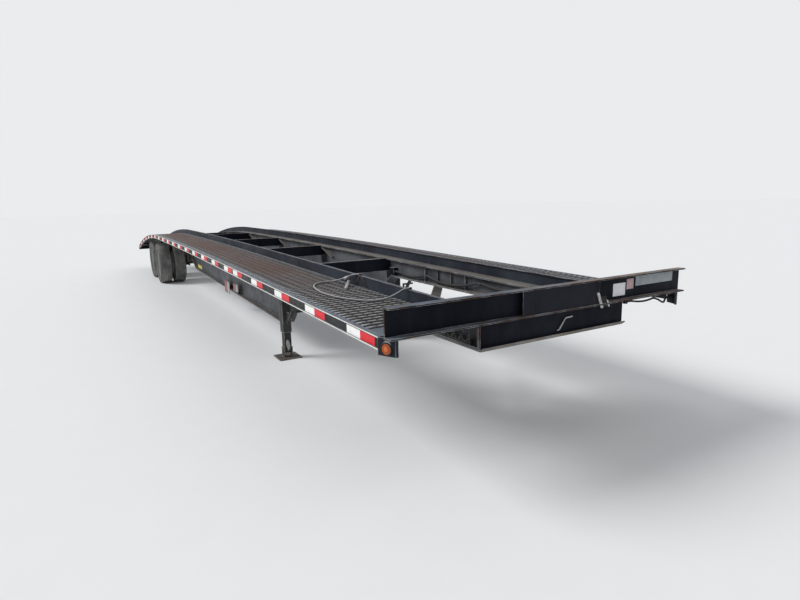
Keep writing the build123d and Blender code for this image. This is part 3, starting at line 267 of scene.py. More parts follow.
class Piece:
    """A mesh in the making: closed shapes are added one by one, each with a material number."""

    def __init__(self):
        self.points = []
        self.faces = []
        self.slots = []
        self.wear_and_light = []

    def shape(self, points, faces, slot=0, wear_and_light=None):
        """Adds points and faces; wear_and_light gives one value for each point, of wear and of painted light.
        """
        start = len(self.points)
        self.points += [tuple(point) for point in points]
        self.wear_and_light += list(wear_and_light) if wear_and_light else [0.0] * len(points)
        self.faces += [tuple(start + corner for corner in face) for face in faces]
        self.slots += [slot] * len(faces)

    def block(self, low, high, slot=0):
        """A box between two corners."""
        points = [(x, y, z) for x in (low[0], high[0]) for y in (low[1], high[1]) for z in (low[2], high[2])]
        faces = [(0, 1, 3, 2), (4, 6, 7, 5), (0, 4, 5, 1), (2, 3, 7, 6), (0, 2, 6, 4), (1, 5, 7, 3)]
        self.shape(points, faces, slot)

    def rings(self, rings, slot=0, closed=False, wear_and_light=None):
        """A skin over rings of as many points each, capped at its ends unless it is closed."""
        size = len(rings[0])
        count = len(rings)
        faces = []
        for number in range(count if closed else count - 1):
            a = number * size
            b = (number + 1) % count * size
            for corner in range(size):
                after = (corner + 1) % size
                faces.append((a + corner, a + after, b + after, b + corner))
        if not closed:
            faces.append(tuple(reversed(range(size))))
            faces.append(tuple((count - 1) * size + corner for corner in range(size)))
        self.shape([point for ring in rings for point in ring], faces, slot, wear_and_light)

    def prism(self, outline, along):
        """A closed outline of 3-D points, drawn out along a vector."""
        along = Vector(along)
        self.rings([[Vector(p) for p in outline], [Vector(p) + along for p in outline]])

    def turned(self, start, axis, profile, steps, hollow=False):
        """A round shape from (distance along the axis, radius, wear and painted light) rows; a hollow one's
        profile is closed.
        """
        axis = Vector(axis).normalized()
        side = axis.orthogonal().normalized()
        other = axis.cross(side)
        rings = []
        wear_and_light = []
        for distance, radius, *wear in profile:
            centre = Vector(start) + axis * distance
            rings.append([centre + (side * math.cos(turn) + other * math.sin(turn)) * radius
                          for turn in (2 * math.pi * step / steps for step in range(steps))])
            wear_and_light += (wear or [0.0]) * steps
        self.rings(rings, closed=hollow, wear_and_light=wear_and_light)

    def bar(self, path, half_wide, half_high, steps):
        """A bar of oval section, or a flat one where steps is 4, bent along a path of points."""
        path = [Vector(point) for point in path]
        reach = math.sqrt(2) if steps == 4 else 1.0
        rings = []
        for number, point in enumerate(path):
            before = path[max(number - 1, 0)]
            after = path[min(number + 1, len(path) - 1)]
            along = (after - before).normalized()
            side = along.cross(Vector((0, 0, 1)))
            side = side.normalized() if side.length > 0.05 else Vector((0, 1, 0))
            up = side.cross(along)
            ring = []
            for step in range(steps):
                turn = 2 * math.pi * (step + 0.5) / steps
                across = side * math.cos(turn) * half_wide * reach
                ring.append(point + across + up * math.sin(turn) * half_high * reach)
            rings.append(ring)
        self.rings(rings)

    def bolt(self, start, axis, radius, height):
        """A hexagonal head or nut on a washer, with the bolt's rounded end in it."""
        washer = 1.25
        lift = height * 0.15
        self.turned(start, axis, ((0, radius * washer), (lift, radius * washer * 0.97)), 18)
        self.turned(start, axis, ((lift * 0.5, radius), (height * 0.92, radius), (height, radius * 0.88)), 6)
        self.turned(start, axis, ((height * 0.9, radius * 0.56), (height * 1.35, radius * 0.56),
                                  (height * 1.5, radius * 0.42)), 12)

    def made(self, name, *materials, body=BODY, slot=None, smooth_deg=35):
        """The finished object, riding on its body."""
        mesh = bpy.data.meshes.new(name)
        mesh.from_pydata(self.points, [], self.faces)
        mesh.polygons.foreach_set("material_index", self.slots)
        if any(self.wear_and_light):
            # The point values carry wear and painted light: painted shade where low, painted highlight where
            # high.
            wear_and_light = mesh.attributes.new("wear_and_light", "FLOAT", "POINT")
            wear_and_light.data.foreach_set("value", self.wear_and_light)
        work = bmesh.new()
        work.from_mesh(mesh)
        bmesh.ops.recalc_face_normals(work, faces=work.faces)
        work.to_mesh(mesh)
        work.free()
        mesh.shade_smooth()
        mesh.set_sharp_from_angle(angle=math.radians(smooth_deg))
        for material in materials:
            mesh.materials.append(material)
        item = placed(name, mesh)
        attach(item, body)
        return item


# Materials

class Finish:
    """A material, with short calls for the nodes that it is made of."""

    def __init__(self, name, roughness=0.6, metallic=0.0, specular=0.5):
        self.material = bpy.data.materials.new(name)
        self.material.use_nodes = True
        self.tree = self.material.node_tree
        self.surface = self.tree.nodes["Principled BSDF"]
        self.surface_of(Roughness=roughness, Metallic=metallic, Specular_IOR_Level=specular)
        self.where = self.node("TexCoord")

    def feed(self, socket, value):
        """Sets a socket to a value, or links it to another node."""
        if isinstance(value, bpy.types.NodeSocket):
            self.tree.links.new(value, socket)
        else:
            socket.default_value = value

    def node(self, kind, **values):
        """A new node, with its inputs fed by name."""
        node = self.tree.nodes.new("ShaderNode" + kind)
        for name, value in values.items():
            self.feed(node.inputs[name], value)
        return node

    def surface_of(self, **values):
        """Feeds the shader's own sockets, named with underscores for spaces."""
        for name, value in values.items():
            self.feed(self.surface.inputs[name.replace("_", " ")], value)

    def maths(self, operation, a, b=0.0, clamp=False):
        """One or two values, taken through an operation."""
        node = self.node("Math")
        node.operation = operation
        node.use_clamp = clamp
        self.feed(node.inputs[0], a)
        self.feed(node.inputs[1], b)
        return node.outputs[0]

    def both(self, *values):
        """The product of several values."""
        product = values[0]
        for value in values[1:]:
            product = self.maths("MULTIPLY", product, value)
        return product

    def step(self, value, low, high, start=0.0, end=1.0):
        """A smooth step of a value from low to high."""
        node = self.node("MapRange")
        node.interpolation_type = "SMOOTHSTEP"
        for socket, item in zip(node.inputs, (value, low, high, start, end)):
            self.feed(socket, item)
        return node.outputs[0]

    def mix(self, share, a, b):
        """A colour between two others."""
        node = self.node("Mix", Factor=share)
        node.data_type = "RGBA"
        self.feed(node.inputs[6], a if isinstance(a, bpy.types.NodeSocket) else (*a, 1.0))
        self.feed(node.inputs[7], b if isinstance(b, bpy.types.NodeSocket) else (*b, 1.0))
        return node.outputs[2]

    def stretched(self, scale):
        """The piece's own place, stretched by a scale for each axis."""
        return self.node("Mapping", Scale=scale, Vector=self.where.outputs["Object"]).outputs[0]

    def noise(self, scale, detail, rough, stretch=(1, 1, 1)):
        """Cloudy values round one half."""
        place = self.stretched(stretch)
        return self.node("TexNoise", Scale=scale, Detail=detail, Roughness=rough, Vector=place).outputs["Fac"]

    def cells(self, scale):
        """The distance to the edges of a pattern of cells."""
        node = self.node("TexVoronoi", Scale=scale, Vector=self.stretched((1, 1, 1)))
        node.feature = "DISTANCE_TO_EDGE"
        return node.outputs["Distance"]

    def axis(self, letter, kind="Object"):
        """One coordinate of the place, or of the normal."""
        return self.node("SeparateXYZ", Vector=self.where.outputs[kind]).outputs[letter]

    def edge(self, radius):
        """Near 1 along the piece's edges, from how far a rounded normal turns there."""
        bevel = self.node("Bevel", Radius=radius)
        bevel.samples = 4
        normal = self.node("NewGeometry").outputs["Normal"]
        dot = self.node("VectorMath")
        dot.operation = "DOT_PRODUCT"
        self.feed(dot.inputs[0], bevel.outputs[0])
        self.feed(dot.inputs[1], normal)
        return self.step(dot.outputs["Value"], 0.98, 0.80)

    def wear_and_light(self):
        """The wear and painted light that a mesh carries at its points."""
        node = self.node("Attribute")
        node.attribute_name = "wear_and_light"
        return node.outputs["Fac"]

    def bump(self, height, strength, distance):
        """Fine relief of the surface."""
        node = self.node("Bump", Strength=strength, Distance=distance, Height=height)
        self.surface_of(Normal=node.outputs[0])


RUST = (0.115, 0.048, 0.024)
PALE_RUST = (0.26, 0.155, 0.105)
BARE = (0.50, 0.50, 0.50)
DUST = (0.20, 0.175, 0.145)
BLUE_DUST = (0.20, 0.225, 0.265)
BEIGE_DUST = (0.34, 0.275, 0.24)
CABLE_TOP_HIGHLIGHT = (0.42, 0.42, 0.43)
# Painted highlight of the rails' sunlit toes
TOE_HIGHLIGHT = (0.70, 0.69, 0.66)
SCUFF = (0.14, 0.14, 0.145)


def coat(name, colour, faded, dust, rust, chips=0.6, specular=0.3, wear=0.005,
         settling=DUST, far_settling=None, toe_highlights=False):
    """Old outdoor paint: faded in patches, streaked, dusty on top, chipped to rust along its edges.

    far_settling is the dust of the left side, and toe_highlights paints a highlight on the part's outermost
    faces.
    """
    gloss = 0.42
    finish = Finish(name, specular=specular)
    patch = finish.noise(1.7, 6, 0.62)
    streak = finish.noise(11.0, 5, 0.62, (1.0, 1.0, 0.10))
    base = finish.mix(finish.step(patch, 0.36, 0.68), colour, faded)
    base = finish.mix(finish.both(finish.step(streak, 0.50, 0.72), 0.55), base, faded)
    spots = finish.both(finish.step(finish.noise(5.5, 9, 0.68), 0.67 - 0.15 * rust, 0.76 - 0.1 * rust),
                        min(1.0, rust * 1.5))
    base = finish.mix(spots, base, RUST)
    bitten = finish.step(finish.noise(9.0, 6, 0.7), 0.28, 0.56, 0.25, 1.0)
    chipped = finish.both(finish.edge(wear), bitten, chips)
    metal = finish.mix(finish.step(finish.noise(6.0, 4, 0.6), 0.40, 0.58), PALE_RUST, BARE)
    base = finish.mix(chipped, base, metal)
    top = finish.step(finish.axis("Z", "Normal"), 0.55, 0.95)
    settled = finish.both(top, finish.step(finish.noise(3.1, 7, 0.7), 0.25, 0.75, 0.35 * dust, dust))
    if far_settling:
        settling = finish.mix(finish.step(finish.axis("Y"), -0.8, 0.9), settling, far_settling)
    base = finish.mix(settled, base, settling)
    # Painted highlight: the outermost faces of the rails' toes, on both sides, are made pale where sunlight lit
    # them.
    if toe_highlights:
        reach = finish.maths("ABSOLUTE", finish.axis("Y"))
        toe = finish.both(finish.step(reach, half_width - toe_depth, half_width - toe_depth / 2),
                          finish.step(finish.noise(16.0, 6, 0.7), 0.28, 0.5, 0.65, 1.0))
        base = finish.mix(toe, base, TOE_HIGHLIGHT)
    rough = finish.step(finish.noise(12.0, 5, 0.65), 0.3, 0.7, gloss, gloss + 0.22)
    rough = finish.maths("ADD", rough, finish.both(finish.maths("ADD", spots, settled), 0.3), clamp=True)
    finish.surface_of(Base_Color=base, Roughness=rough)
    dents = finish.maths("ADD", finish.both(finish.noise(140.0, 3, 0.7), 0.25), finish.noise(7.0, 5, 0.55))
    finish.bump(dents, 0.35, 0.0014)
    return finish.material


def deck_steel():
    """Grating: black paint in the hollows, deepened there as painted shade, grey-brown on the slopes, which
    darken towards the hollows as painted shade, and crowns rubbed bright by tyres.
    """
    finish = Finish("deck_steel", specular=0.25)
    wear_and_light = finish.wear_and_light()
    patch = finish.noise(1.1, 6, 0.6)
    fine = finish.noise(46.0, 6, 0.7)
    # Painted shade, partly: the hollows, where the point value is lowest, are near black.
    hollow = finish.mix(finish.step(patch, 0.35, 0.7), (0.008, 0.008, 0.010), (0.020, 0.018, 0.018))
    side = finish.maths("ABSOLUTE", finish.axis("Y"))
    off_middle = finish.maths("ABSOLUTE", finish.maths("SUBTRACT", side, runway_middle_y))
    rusty = finish.both(finish.step(off_middle, rust_gone_width, rust_full_width),
                        finish.step(finish.axis("X"), rust_gone_x, rust_full_x),
                        finish.step(patch, 0.28, 0.58, 0.45, 1.0))
    crown = finish.mix(finish.step(fine, 0.36, 0.62), (0.175, 0.166, 0.170), (0.39, 0.38, 0.38))
    brown = finish.mix(finish.step(fine, 0.36, 0.64), (0.110, 0.070, 0.060), (0.31, 0.215, 0.192))
    crown = finish.mix(rusty, crown, brown)
    base = finish.mix(finish.step(wear_and_light, 0.50, 0.96), hollow, crown)
    # Painted shade, partly: the slopes darken from the crowns down into the hollows.
    slope = finish.mix(rusty, (0.070, 0.067, 0.069), (0.120, 0.075, 0.062))
    sloping = finish.both(finish.step(wear_and_light, 0.12, 0.55), finish.step(wear_and_light, 0.98, 0.6), 0.75)
    base = finish.mix(sloping, base, slope)
    # Painted highlight: the bars' outer and inner ends are made pale.
    outer = half_width - runway_side_inset - bar_end
    inner = runway_inner_y + bar_end
    ends = finish.maths("ADD", finish.step(side, outer - end_blend, outer + end_blend),
                        finish.step(side, inner + end_blend, inner - end_blend))
    pale = finish.mix(finish.step(fine, 0.36, 0.62), (0.20, 0.215, 0.235), (0.40, 0.42, 0.44))
    base = finish.mix(finish.both(ends, finish.step(wear_and_light, 0.25, 0.65), 0.85), base, pale)
    spots = finish.step(finish.noise(11.0, 8, 0.7), 0.60, 0.70)
    base = finish.mix(finish.both(spots, 0.6), base, RUST)
    metal = finish.both(finish.step(wear_and_light, 0.7, 1.0), finish.step(fine, 0.45, 0.7, 0.0, 0.3))
    finish.surface_of(Base_Color=base, Roughness=finish.step(fine, 0.3, 0.7, 0.45, 0.7), Metallic=metal)
    finish.bump(fine, 0.3, 0.0010)
    return finish.material


def bare_steel():
    """Unpainted steel with a skin of rust."""
    metallic = 0.75
    finish = Finish("bare_steel", metallic=metallic)
    cover = finish.step(finish.noise(8.0, 8, 0.68), 0.53, 0.67)
    base = finish.mix(cover, (0.45, 0.44, 0.43), RUST)
    fine = finish.noise(90.0, 4, 0.65)
    rough = finish.step(fine, 0.3, 0.7, 0.32, 0.62)
    finish.surface_of(Base_Color=base, Roughness=rough, Metallic=finish.step(cover, 0.2, 0.8, metallic, 0.0))
    finish.bump(fine, 0.25, 0.0008)
    return finish.material


def worn_rod():
    """Steel rubbed bare, with brown stains."""
    finish = Finish("worn_rod", roughness=0.5, specular=0.35)
    fine = finish.noise(60.0, 5, 0.66)
    base = finish.mix(finish.step(fine, 0.35, 0.65), (0.30, 0.295, 0.285), (0.54, 0.535, 0.525))
    base = finish.mix(finish.both(finish.step(finish.noise(14.0, 6, 0.7), 0.52, 0.66), 0.4), base, PALE_RUST)
    finish.surface_of(Base_Color=base)
    finish.bump(fine, 0.25, 0.0008)
    return finish.material


def rubber_finish(name, colour, paler, strength, top=0.0, wall=None):
    """Rubber, greyed by weather, paler in patches with dust and, on a tyre's tread, with painted sunlight;
    where top is given, upward faces take a painted highlight; a tyre's walls may be darker.
    """
    finish = Finish(name, specular=0.3)
    patch = finish.step(finish.noise(4.0, 7, 0.66), 0.35, 0.68)
    # On a tyre, the paler colour of the tread is partly dust and partly painted sunlight.
    base = finish.mix(finish.both(patch, strength), colour, paler)
    streak = finish.step(finish.noise(60.0, 4, 0.6), 0.5, 0.72)
    base = finish.mix(finish.both(streak, 0.35 * strength), base, paler)
    # Painted highlight: upward faces are made pale.
    if top:
        upward = finish.step(finish.axis("Z", "Normal"), 0.1, 0.9)
        base = finish.mix(finish.both(upward, top), base, CABLE_TOP_HIGHLIGHT)
    if wall:
        facing = finish.step(finish.maths("ABSOLUTE", finish.axis("Y", "Normal")), 0.35, 0.85)
        shade = finish.mix(finish.both(patch, strength), wall, tuple(2.6 * part for part in wall))
        base = finish.mix(facing, base, shade)
    finish.surface_of(Base_Color=base, Roughness=finish.step(patch, 0.0, 1.0, 0.62, 0.88))
    finish.bump(finish.noise(180.0, 3, 0.6), 0.25, 0.0006)
    return finish.material


def tape_finish(name, colour, soiled):
    """Prismatic tape: a fine cell pattern under film, dirty in patches."""
    finish = Finish(name, roughness=0.45, specular=0.25)
    cells = finish.step(finish.cells(210.0), 0.02, 0.10)
    pale = tuple(min(1.0, 1.12 * part + 0.004) for part in colour)
    base = finish.mix(cells, tuple(0.80 * part for part in colour), pale)
    dirt = finish.step(finish.noise(14.0, 7, 0.68), 0.50, 0.78, 0.0, 0.55)
    base = finish.mix(dirt, base, soiled)
    finish.surface_of(Base_Color=base, Coat_Weight=0.12, Coat_Roughness=0.3)
    finish.bump(cells, 0.2, 0.0004)
    return finish.material


def lens_finish(name, colour, deep):
    """A coloured plastic lens, darker at its rim and in its moulded grooves as painted shade, brighter on its
    ridges and centre as painted highlight, and paler with dust in patches.
    """
    finish = Finish(name, roughness=0.34, specular=0.35)
    # Painted shade in the grooves and painted highlight on the ridges and centre, by the mesh's point values.
    base = finish.mix(finish.step(finish.wear_and_light(), 0.1, 0.9), deep, colour)
    paler = finish.step(finish.noise(30.0, 6, 0.7), 0.5, 0.75, 0.0, 0.25)
    base = finish.mix(paler, base, tuple(0.6 * part + 0.05 for part in colour))
    finish.surface_of(Base_Color=base, Coat_Weight=0.2, Coat_Roughness=0.12)
    finish.bump(finish.noise(90.0, 2, 0.5), 0.15, 0.0006)
    return finish.material


def label_finish(name, colour):
    """A blank label, yellowed and scuffed."""
    finish = Finish(name, roughness=0.5)
    stain = finish.step(finish.noise(9.0, 7, 0.68), 0.42, 0.72)
    base = finish.mix(finish.both(stain, 0.7), colour, tuple(0.62 * part for part in colour))
    scuffs = finish.step(finish.noise(40.0, 6, 0.72, (0.4, 0.4, 1.0)), 0.6, 0.7)
    base = finish.mix(finish.both(scuffs, 0.6), base, SCUFF)
    finish.surface_of(Base_Color=base)
    finish.bump(finish.noise(60.0, 4, 0.6), 0.2, 0.0005)
    return finish.material


FINISHES = {
    "frame_paint": coat("frame_paint", (0.004, 0.005, 0.009), (0.013, 0.015, 0.023), dust=0.75, rust=0.22,
                        chips=1.0, specular=0.06, wear=0.007, settling=BLUE_DUST, far_settling=BEIGE_DUST),
    "panel_paint": coat("panel_paint", (0.008, 0.009, 0.013), (0.017, 0.020, 0.027), dust=0.4, rust=0.2,
                        chips=0.9, specular=0.06, wear=0.006),
    "girder_paint": coat("girder_paint", (0.036, 0.040, 0.047), (0.108, 0.114, 0.124), dust=0.75, rust=0.45,
                         chips=1.0, wear=0.009),
    "curb_paint": coat("curb_paint", (0.011, 0.014, 0.020), (0.032, 0.038, 0.050), dust=0.7, rust=0.3,
                       chips=0.9, specular=0.12, wear=0.006, settling=BLUE_DUST),
    # The rails' paint carries a painted highlight on its toes.
    "rail_paint": coat("rail_paint", (0.012, 0.013, 0.015), (0.026, 0.028, 0.032), dust=0.85, rust=0.2,
                       chips=0.7, specular=0.2, settling=BLUE_DUST, toe_highlights=True),
    "coupler_paint": coat("coupler_paint", (0.110, 0.102, 0.094), (0.285, 0.262, 0.232), dust=0.6, rust=0.4,
                          chips=0.9, specular=0.2, wear=0.006),
    "mesh_paint": coat("mesh_paint", (0.008, 0.009, 0.011), (0.022, 0.024, 0.028), dust=0.3, rust=0.3,
                       specular=0.16),
    "deck_steel": deck_steel(),
    "leg_paint": coat("leg_paint", (0.016, 0.016, 0.018), (0.055, 0.054, 0.053), dust=0.6, rust=0.4, chips=1.0,
                      specular=0.2, wear=0.013),
    "axle_paint": coat("axle_paint", (0.026, 0.025, 0.025), (0.095, 0.085, 0.075), dust=0.9, rust=0.6),
    "spring_steel": coat("spring_steel", (0.040, 0.034, 0.030), (0.110, 0.088, 0.070), dust=0.9, rust=0.85),
    "wheel_paint": coat("wheel_paint", (0.40, 0.41, 0.42), (0.53, 0.53, 0.52), dust=0.5, rust=0.45, chips=0.9),
    "bare_steel": bare_steel(),
    "worn_rod": worn_rod(),
    # The tyre's paler tread is partly dust and partly painted sunlight; its walls stay dark.
    "tyre": rubber_finish("tyre", (0.120, 0.117, 0.114), (0.36, 0.345, 0.33), 0.9, wall=(0.050, 0.048, 0.046)),
    "rubber": rubber_finish("rubber", (0.008, 0.008, 0.009), (0.030, 0.030, 0.031), 0.6, top=0.06),
    # The cable's pale top is a painted highlight.
    "cable_sheath": rubber_finish("cable_sheath", (0.075, 0.075, 0.080), (0.20, 0.20, 0.205), 0.8, top=0.75),
    "amber_lens": lens_finish("amber_lens", (0.60, 0.13, 0.025), (0.085, 0.014, 0.005)),
    "red_lens": lens_finish("red_lens", (0.45, 0.010, 0.010), (0.12, 0.003, 0.003)),
    "red_tape": tape_finish("red_tape", (0.64, 0.003, 0.014), (0.25, 0.012, 0.016)),
    "white_tape": tape_finish("white_tape", (0.82, 0.82, 0.80), (0.48, 0.46, 0.42)),
    # Tape darkened as painted shade, for the girder's plates that lie in the trailer's shadow.
    "shaded_red_tape": tape_finish("shaded_red_tape", (0.33, 0.075, 0.080), (0.20, 0.09, 0.085)),
    "shaded_white_tape": tape_finish("shaded_white_tape", (0.36, 0.36, 0.38), (0.25, 0.24, 0.22)),
    "yellow_tag": label_finish("yellow_tag", (0.85, 0.78, 0.17)),
    "white_label": label_finish("white_label", (0.74, 0.76, 0.80)),
    "pink_label": label_finish("pink_label", (0.50, 0.34, 0.35)),
    "grey_label": label_finish("grey_label", (0.30, 0.33, 0.35)),
}

# Nodes whose finish isn't that of their slot
NODE_FINISHES = {
    "curb_left": "curb_paint",
    "curb_right": "curb_paint",
    "coupler_plate": "coupler_paint",
    "lamp_brackets": "curb_paint",
    "neck_brace": "mesh_paint",
}


def dress_nodes():
    """Gives every node of the frame its own finish, or that of its slot in the record."""
    slots = {entry["node"]: entry["material_slot"] for entry in frame["record"]["subparts"]}
    for name, item in frame["nodes"].items():
        item.data.materials.clear()
        item.data.materials.append(FINISHES[NODE_FINISHES.get(name, slots[name])])


# The deck

def loose_cable():
    """The cable over the right curb, from one clip down to the runway and back to the other."""
    ends = []
    for x, y, heading, level_run in cable_clips:
        turn = math.radians(heading)
        z = deck_z(x) + clip_rise
        ends.append([(x, -y, z), (x - level_run * math.cos(turn), -y - level_run * math.sin(turn), z)])
    points = ends[0] + [(x, -y, deck_z(x) + height) for x, y, height in cable_route] + ends[1][::-1]
    curve = bpy.data.curves.new("loose_cable_sheath", "CURVE")
    curve.dimensions = "3D"
    curve.bevel_depth = cable_radius
    curve.bevel_resolution = 4
    curve.use_fill_caps = True
    spline = curve.splines.new("NURBS")
    spline.points.add(len(points) - 1)
    for point, place in zip(spline.points, points):
        point.co = (*place, 1.0)
    spline.order_u = 3
    spline.use_endpoint_u = True
    curve.materials.append(FINISHES["cable_sheath"])
    cable = placed("loose_cable_sheath", curve)
    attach(cable, BODY)
    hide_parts("loose_cable")


def deck_strip(piece, places, y_low, y_high, top, bottom, slot=0):
    """A strip along the deck line through some places, between two drops below it."""
    sections = []
    for x in places:
        z = deck_z(x)
        sections.append([(x, y_low, z - bottom), (x, y_high, z - bottom),
                         (x, y_high, z - top), (x, y_low, z - top)])
    piece.rings(sections, slot)


def grating(node):
    """One length of a runway: beaded bars across it on flat ribbons, with the tray's walls under them."""
    low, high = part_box(node)
    piece = Piece()
    stop_room = 0.01
    stops = [low.x, *[x for x, _ in deck_line if low.x + stop_room < x < high.x - stop_room], high.x]
    width = high.y - low.y
    column = width / bead_columns
    for edge in range(1, bead_columns):
        middle = low.y + edge * column
        start = middle - ribbon_width / 2
        deck_strip(piece, stops, start, start + ribbon_width, ribbon_top, ribbon_bottom)
    deck_strip(piece, stops, low.y, low.y + edge_strip, ribbon_top, ribbon_bottom)
    deck_strip(piece, stops, high.y - edge_strip, high.y, ribbon_top, ribbon_bottom)
    wall_step = (width - wall_thickness) / (tray_walls - 1)
    for wall in range(tray_walls):
        y = low.y + wall * wall_step
        deck_strip(piece, stops, y, y + wall_thickness, ribbon_bottom, tray_depth)
    front = high.x
    if high.x > end_plate_beyond:
        front -= end_plate_length
        plate = Piece()
        deck_strip(plate, (front, high.x), low.y, high.y, end_plate_top, end_plate_bottom)
        plate.made(node + "_end_plate", FINISHES["curb_paint"], slot="deck_steel")
    count = int((front - low.x) // bar_pitch)
    pitch = (front - low.x) / count
    for number in range(count):
        beaded_bar(piece, front - (number + 0.5) * pitch, low.y, column)
    made = piece.made(node + "_grating", FINISHES["deck_steel"], slot="deck_steel")
    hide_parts(node)


def beaded_bar(piece, x, y_start, column):
    """One bar of the grating: a row of long beads, dipped between them, with crowns rubbed bright on top and
    brightest mid-bead as painted highlight.
    """
    stations = (
        # share of the column, height, wear and painted highlight, highest mid-bead
        (0.00, 0.40, 0.64),
        (0.06, 0.80, 0.76),
        (0.16, 1.0, 0.88),
        (0.50, 1.0, 1.0),
        (0.84, 1.0, 0.88),
        (0.94, 0.80, 0.76),
    )
    # Painted highlight: each bar's two end sections carry a high value, which paints their end faces pale.
    end_cap_light = 0.85
    z = deck_z(x)
    tilt = math.tan(deck_slope(x))
    places = []
    for number in range(bead_columns):
        places += [(y_start + (number + share) * column, height, wear) for share, height, wear in stations]
    places.append((y_start + bead_columns * column, stations[0][1], stations[0][2]))
    sections = []
    wear_and_light = []
    for number, (y, height, wear) in enumerate(places):
        # The bar's two end sections take the painted highlight of its ends.
        section_light = end_cap_light if number in (0, len(places) - 1) else 0.0
        crown = (1 - height) * bead_dip
        profile = (
            # along the trailer, drop, wear
            (-bar_base / 2, bar_bottom, section_light),
            (-bar_base / 2, bar_depth, section_light),
            (-bar_crown / 2, crown, wear),
            (bar_crown / 2, crown, wear),
            (bar_base / 2, bar_depth, section_light),
            (bar_base / 2, bar_bottom, section_light),
        )
        sections.append([(x + along, y, z - drop + along * tilt) for along, drop, _ in profile])
        wear_and_light += [wear for _, _, wear in profile]
    piece.rings(sections, wear_and_light=wear_and_light)


def rail_tape():
    """Red and white tape in the rails' recesses, laid again from each joint between their lengths."""
    runs = (
        # front end of the first red piece, pitch, pairs
        (7.132, 0.72, 5),
        (3.835, 0.67, 17),
    )
    for name, side in (("left", 1), ("right", -1)):
        piece = Piece()
        face = side * (half_width - rail_recess)
        for first, pitch, pairs in runs:
            for pair in range(pairs):
                for slot in (0, 1):
                    front = first - pair * pitch - slot * tape_length
                    rear = front - tape_length + tape_gap
                    deck_strip(piece, (front, (front + rear) / 2, rear), face, face + side * tape_thickness,
                               tape_drop - tape_height / 2, tape_drop + tape_height / 2, slot)
        piece.made(f"rail_tape_{name}", FINISHES["red_tape"], FINISHES["white_tape"])


def girder_marks():
    """Taped plates on the right girder's lower flange, and the blank yellow tag on its web farther back."""
    face = -0.6500
    plate_face = face - 0.0040
    end_room = 0.02
    side_room = 0.01
    places = (
        # x low, x high, z low, z high
        (0.450, 0.800, 0.310, 0.510),
        (1.050, 1.370, 0.400, 0.530),
    )
    tag_low = (-2.27, -0.5915, 0.452)
    tag_high = (-1.86, -0.590, 0.520)
    plates = Piece()
    tape = Piece()
    for x_low, x_high, z_low, z_high in places:
        plates.block((x_low, plate_face, z_low), (x_high, face, z_high))
        middle = (x_low + x_high) / 2
        ends = ((x_low + end_room, middle - side_room), (middle + side_room, x_high - end_room))
        for slot, (start, end) in enumerate(ends):
            tape.block((start, plate_face - tape_thickness, z_low + side_room),
                       (end, plate_face, z_high - side_room), slot)
    plates.made("girder_plates_right", FINISHES["girder_paint"])
    # The plates' tape is darkened as painted shade.
    tape.made("girder_tape_right", FINISHES["shaded_red_tape"], FINISHES["shaded_white_tape"])
    tag = Piece()
    tag.block(tag_low, tag_high)
    tag.made("web_tag_right", FINISHES["yellow_tag"])


def front_labels():
    """Blank labels on the left half of the front beam's web."""
    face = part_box("coupler_front")[1].x
    labels = (
        # name, finish, y low, y high, z low, z high
        ("front_label_white", "white_label", 0.537, 0.667, 1.060, 1.150),
        ("front_label_pink", "pink_label", 0.681, 0.757, 1.098, 1.172),
        ("front_label_long", "grey_label", 0.779, 1.212, 1.113, 1.186),
    )
    for name, finish, y_low, y_high, z_low, z_high in labels:
        piece = Piece()
        piece.block((face, y_low, z_low), (face + tape_thickness, y_high, z_high))
        piece.made(name, FINISHES[finish])


def front_fittings():
    """The bare release handle on the coupler's front, and the bright-edged hook plate on the front beam."""
    rod_radius = 0.005
    rod_steps = 14
    hook_gap = 0.0005
    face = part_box("coupler_front")[1].x
    rows = (
        # reach from the coupler's face, y, z
        (0.000, 0.000, 0.896),
        (0.007, 0.001, 0.897),
        (0.011, 0.004, 0.901),
        (0.011, 0.058, 0.967),
        (0.011, 0.064, 0.972),
        (0.011, 0.071, 0.9735),
        (0.011, 0.121, 0.975),
        (0.008, 0.126, 0.975),
        (0.000, 0.128, 0.975),
    )
    handle = Piece()
    handle.bar([(face + reach, y, z) for reach, y, z in rows], rod_radius, rod_radius, rod_steps)
    made = handle.made("release_handle", FINISHES["worn_rod"], slot="frame_paint", smooth_deg=50)
    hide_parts("front_fittings")
    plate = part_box("centre_plate")[1].x + hook_gap
    strips = (
        # material, thickness, y low, y high and z at the top, the same at the bottom
        (1, 0.0050, 0.314, 0.338, 1.117, 0.360, 0.384, 1.008),
        (0, 0.0020, 0.338, 0.414, 1.085, 0.384, 0.434, 1.012),
        (1, 0.0050, 0.414, 0.427, 1.058, 0.434, 0.449, 1.010),
    )
    hook = Piece()
    for slot, thickness, *ends in strips:
        rings = []
        for y_low, y_high, z in (ends[:3], ends[3:]):
            rings.append([(plate, y_low, z), (plate, y_high, z), (plate + thickness, y_high, z),
                          (plate + thickness, y_low, z)])
        hook.rings(rings, slot=slot)
    hook.made("beam_hook", FINISHES["rubber"], FINISHES["worn_rod"])


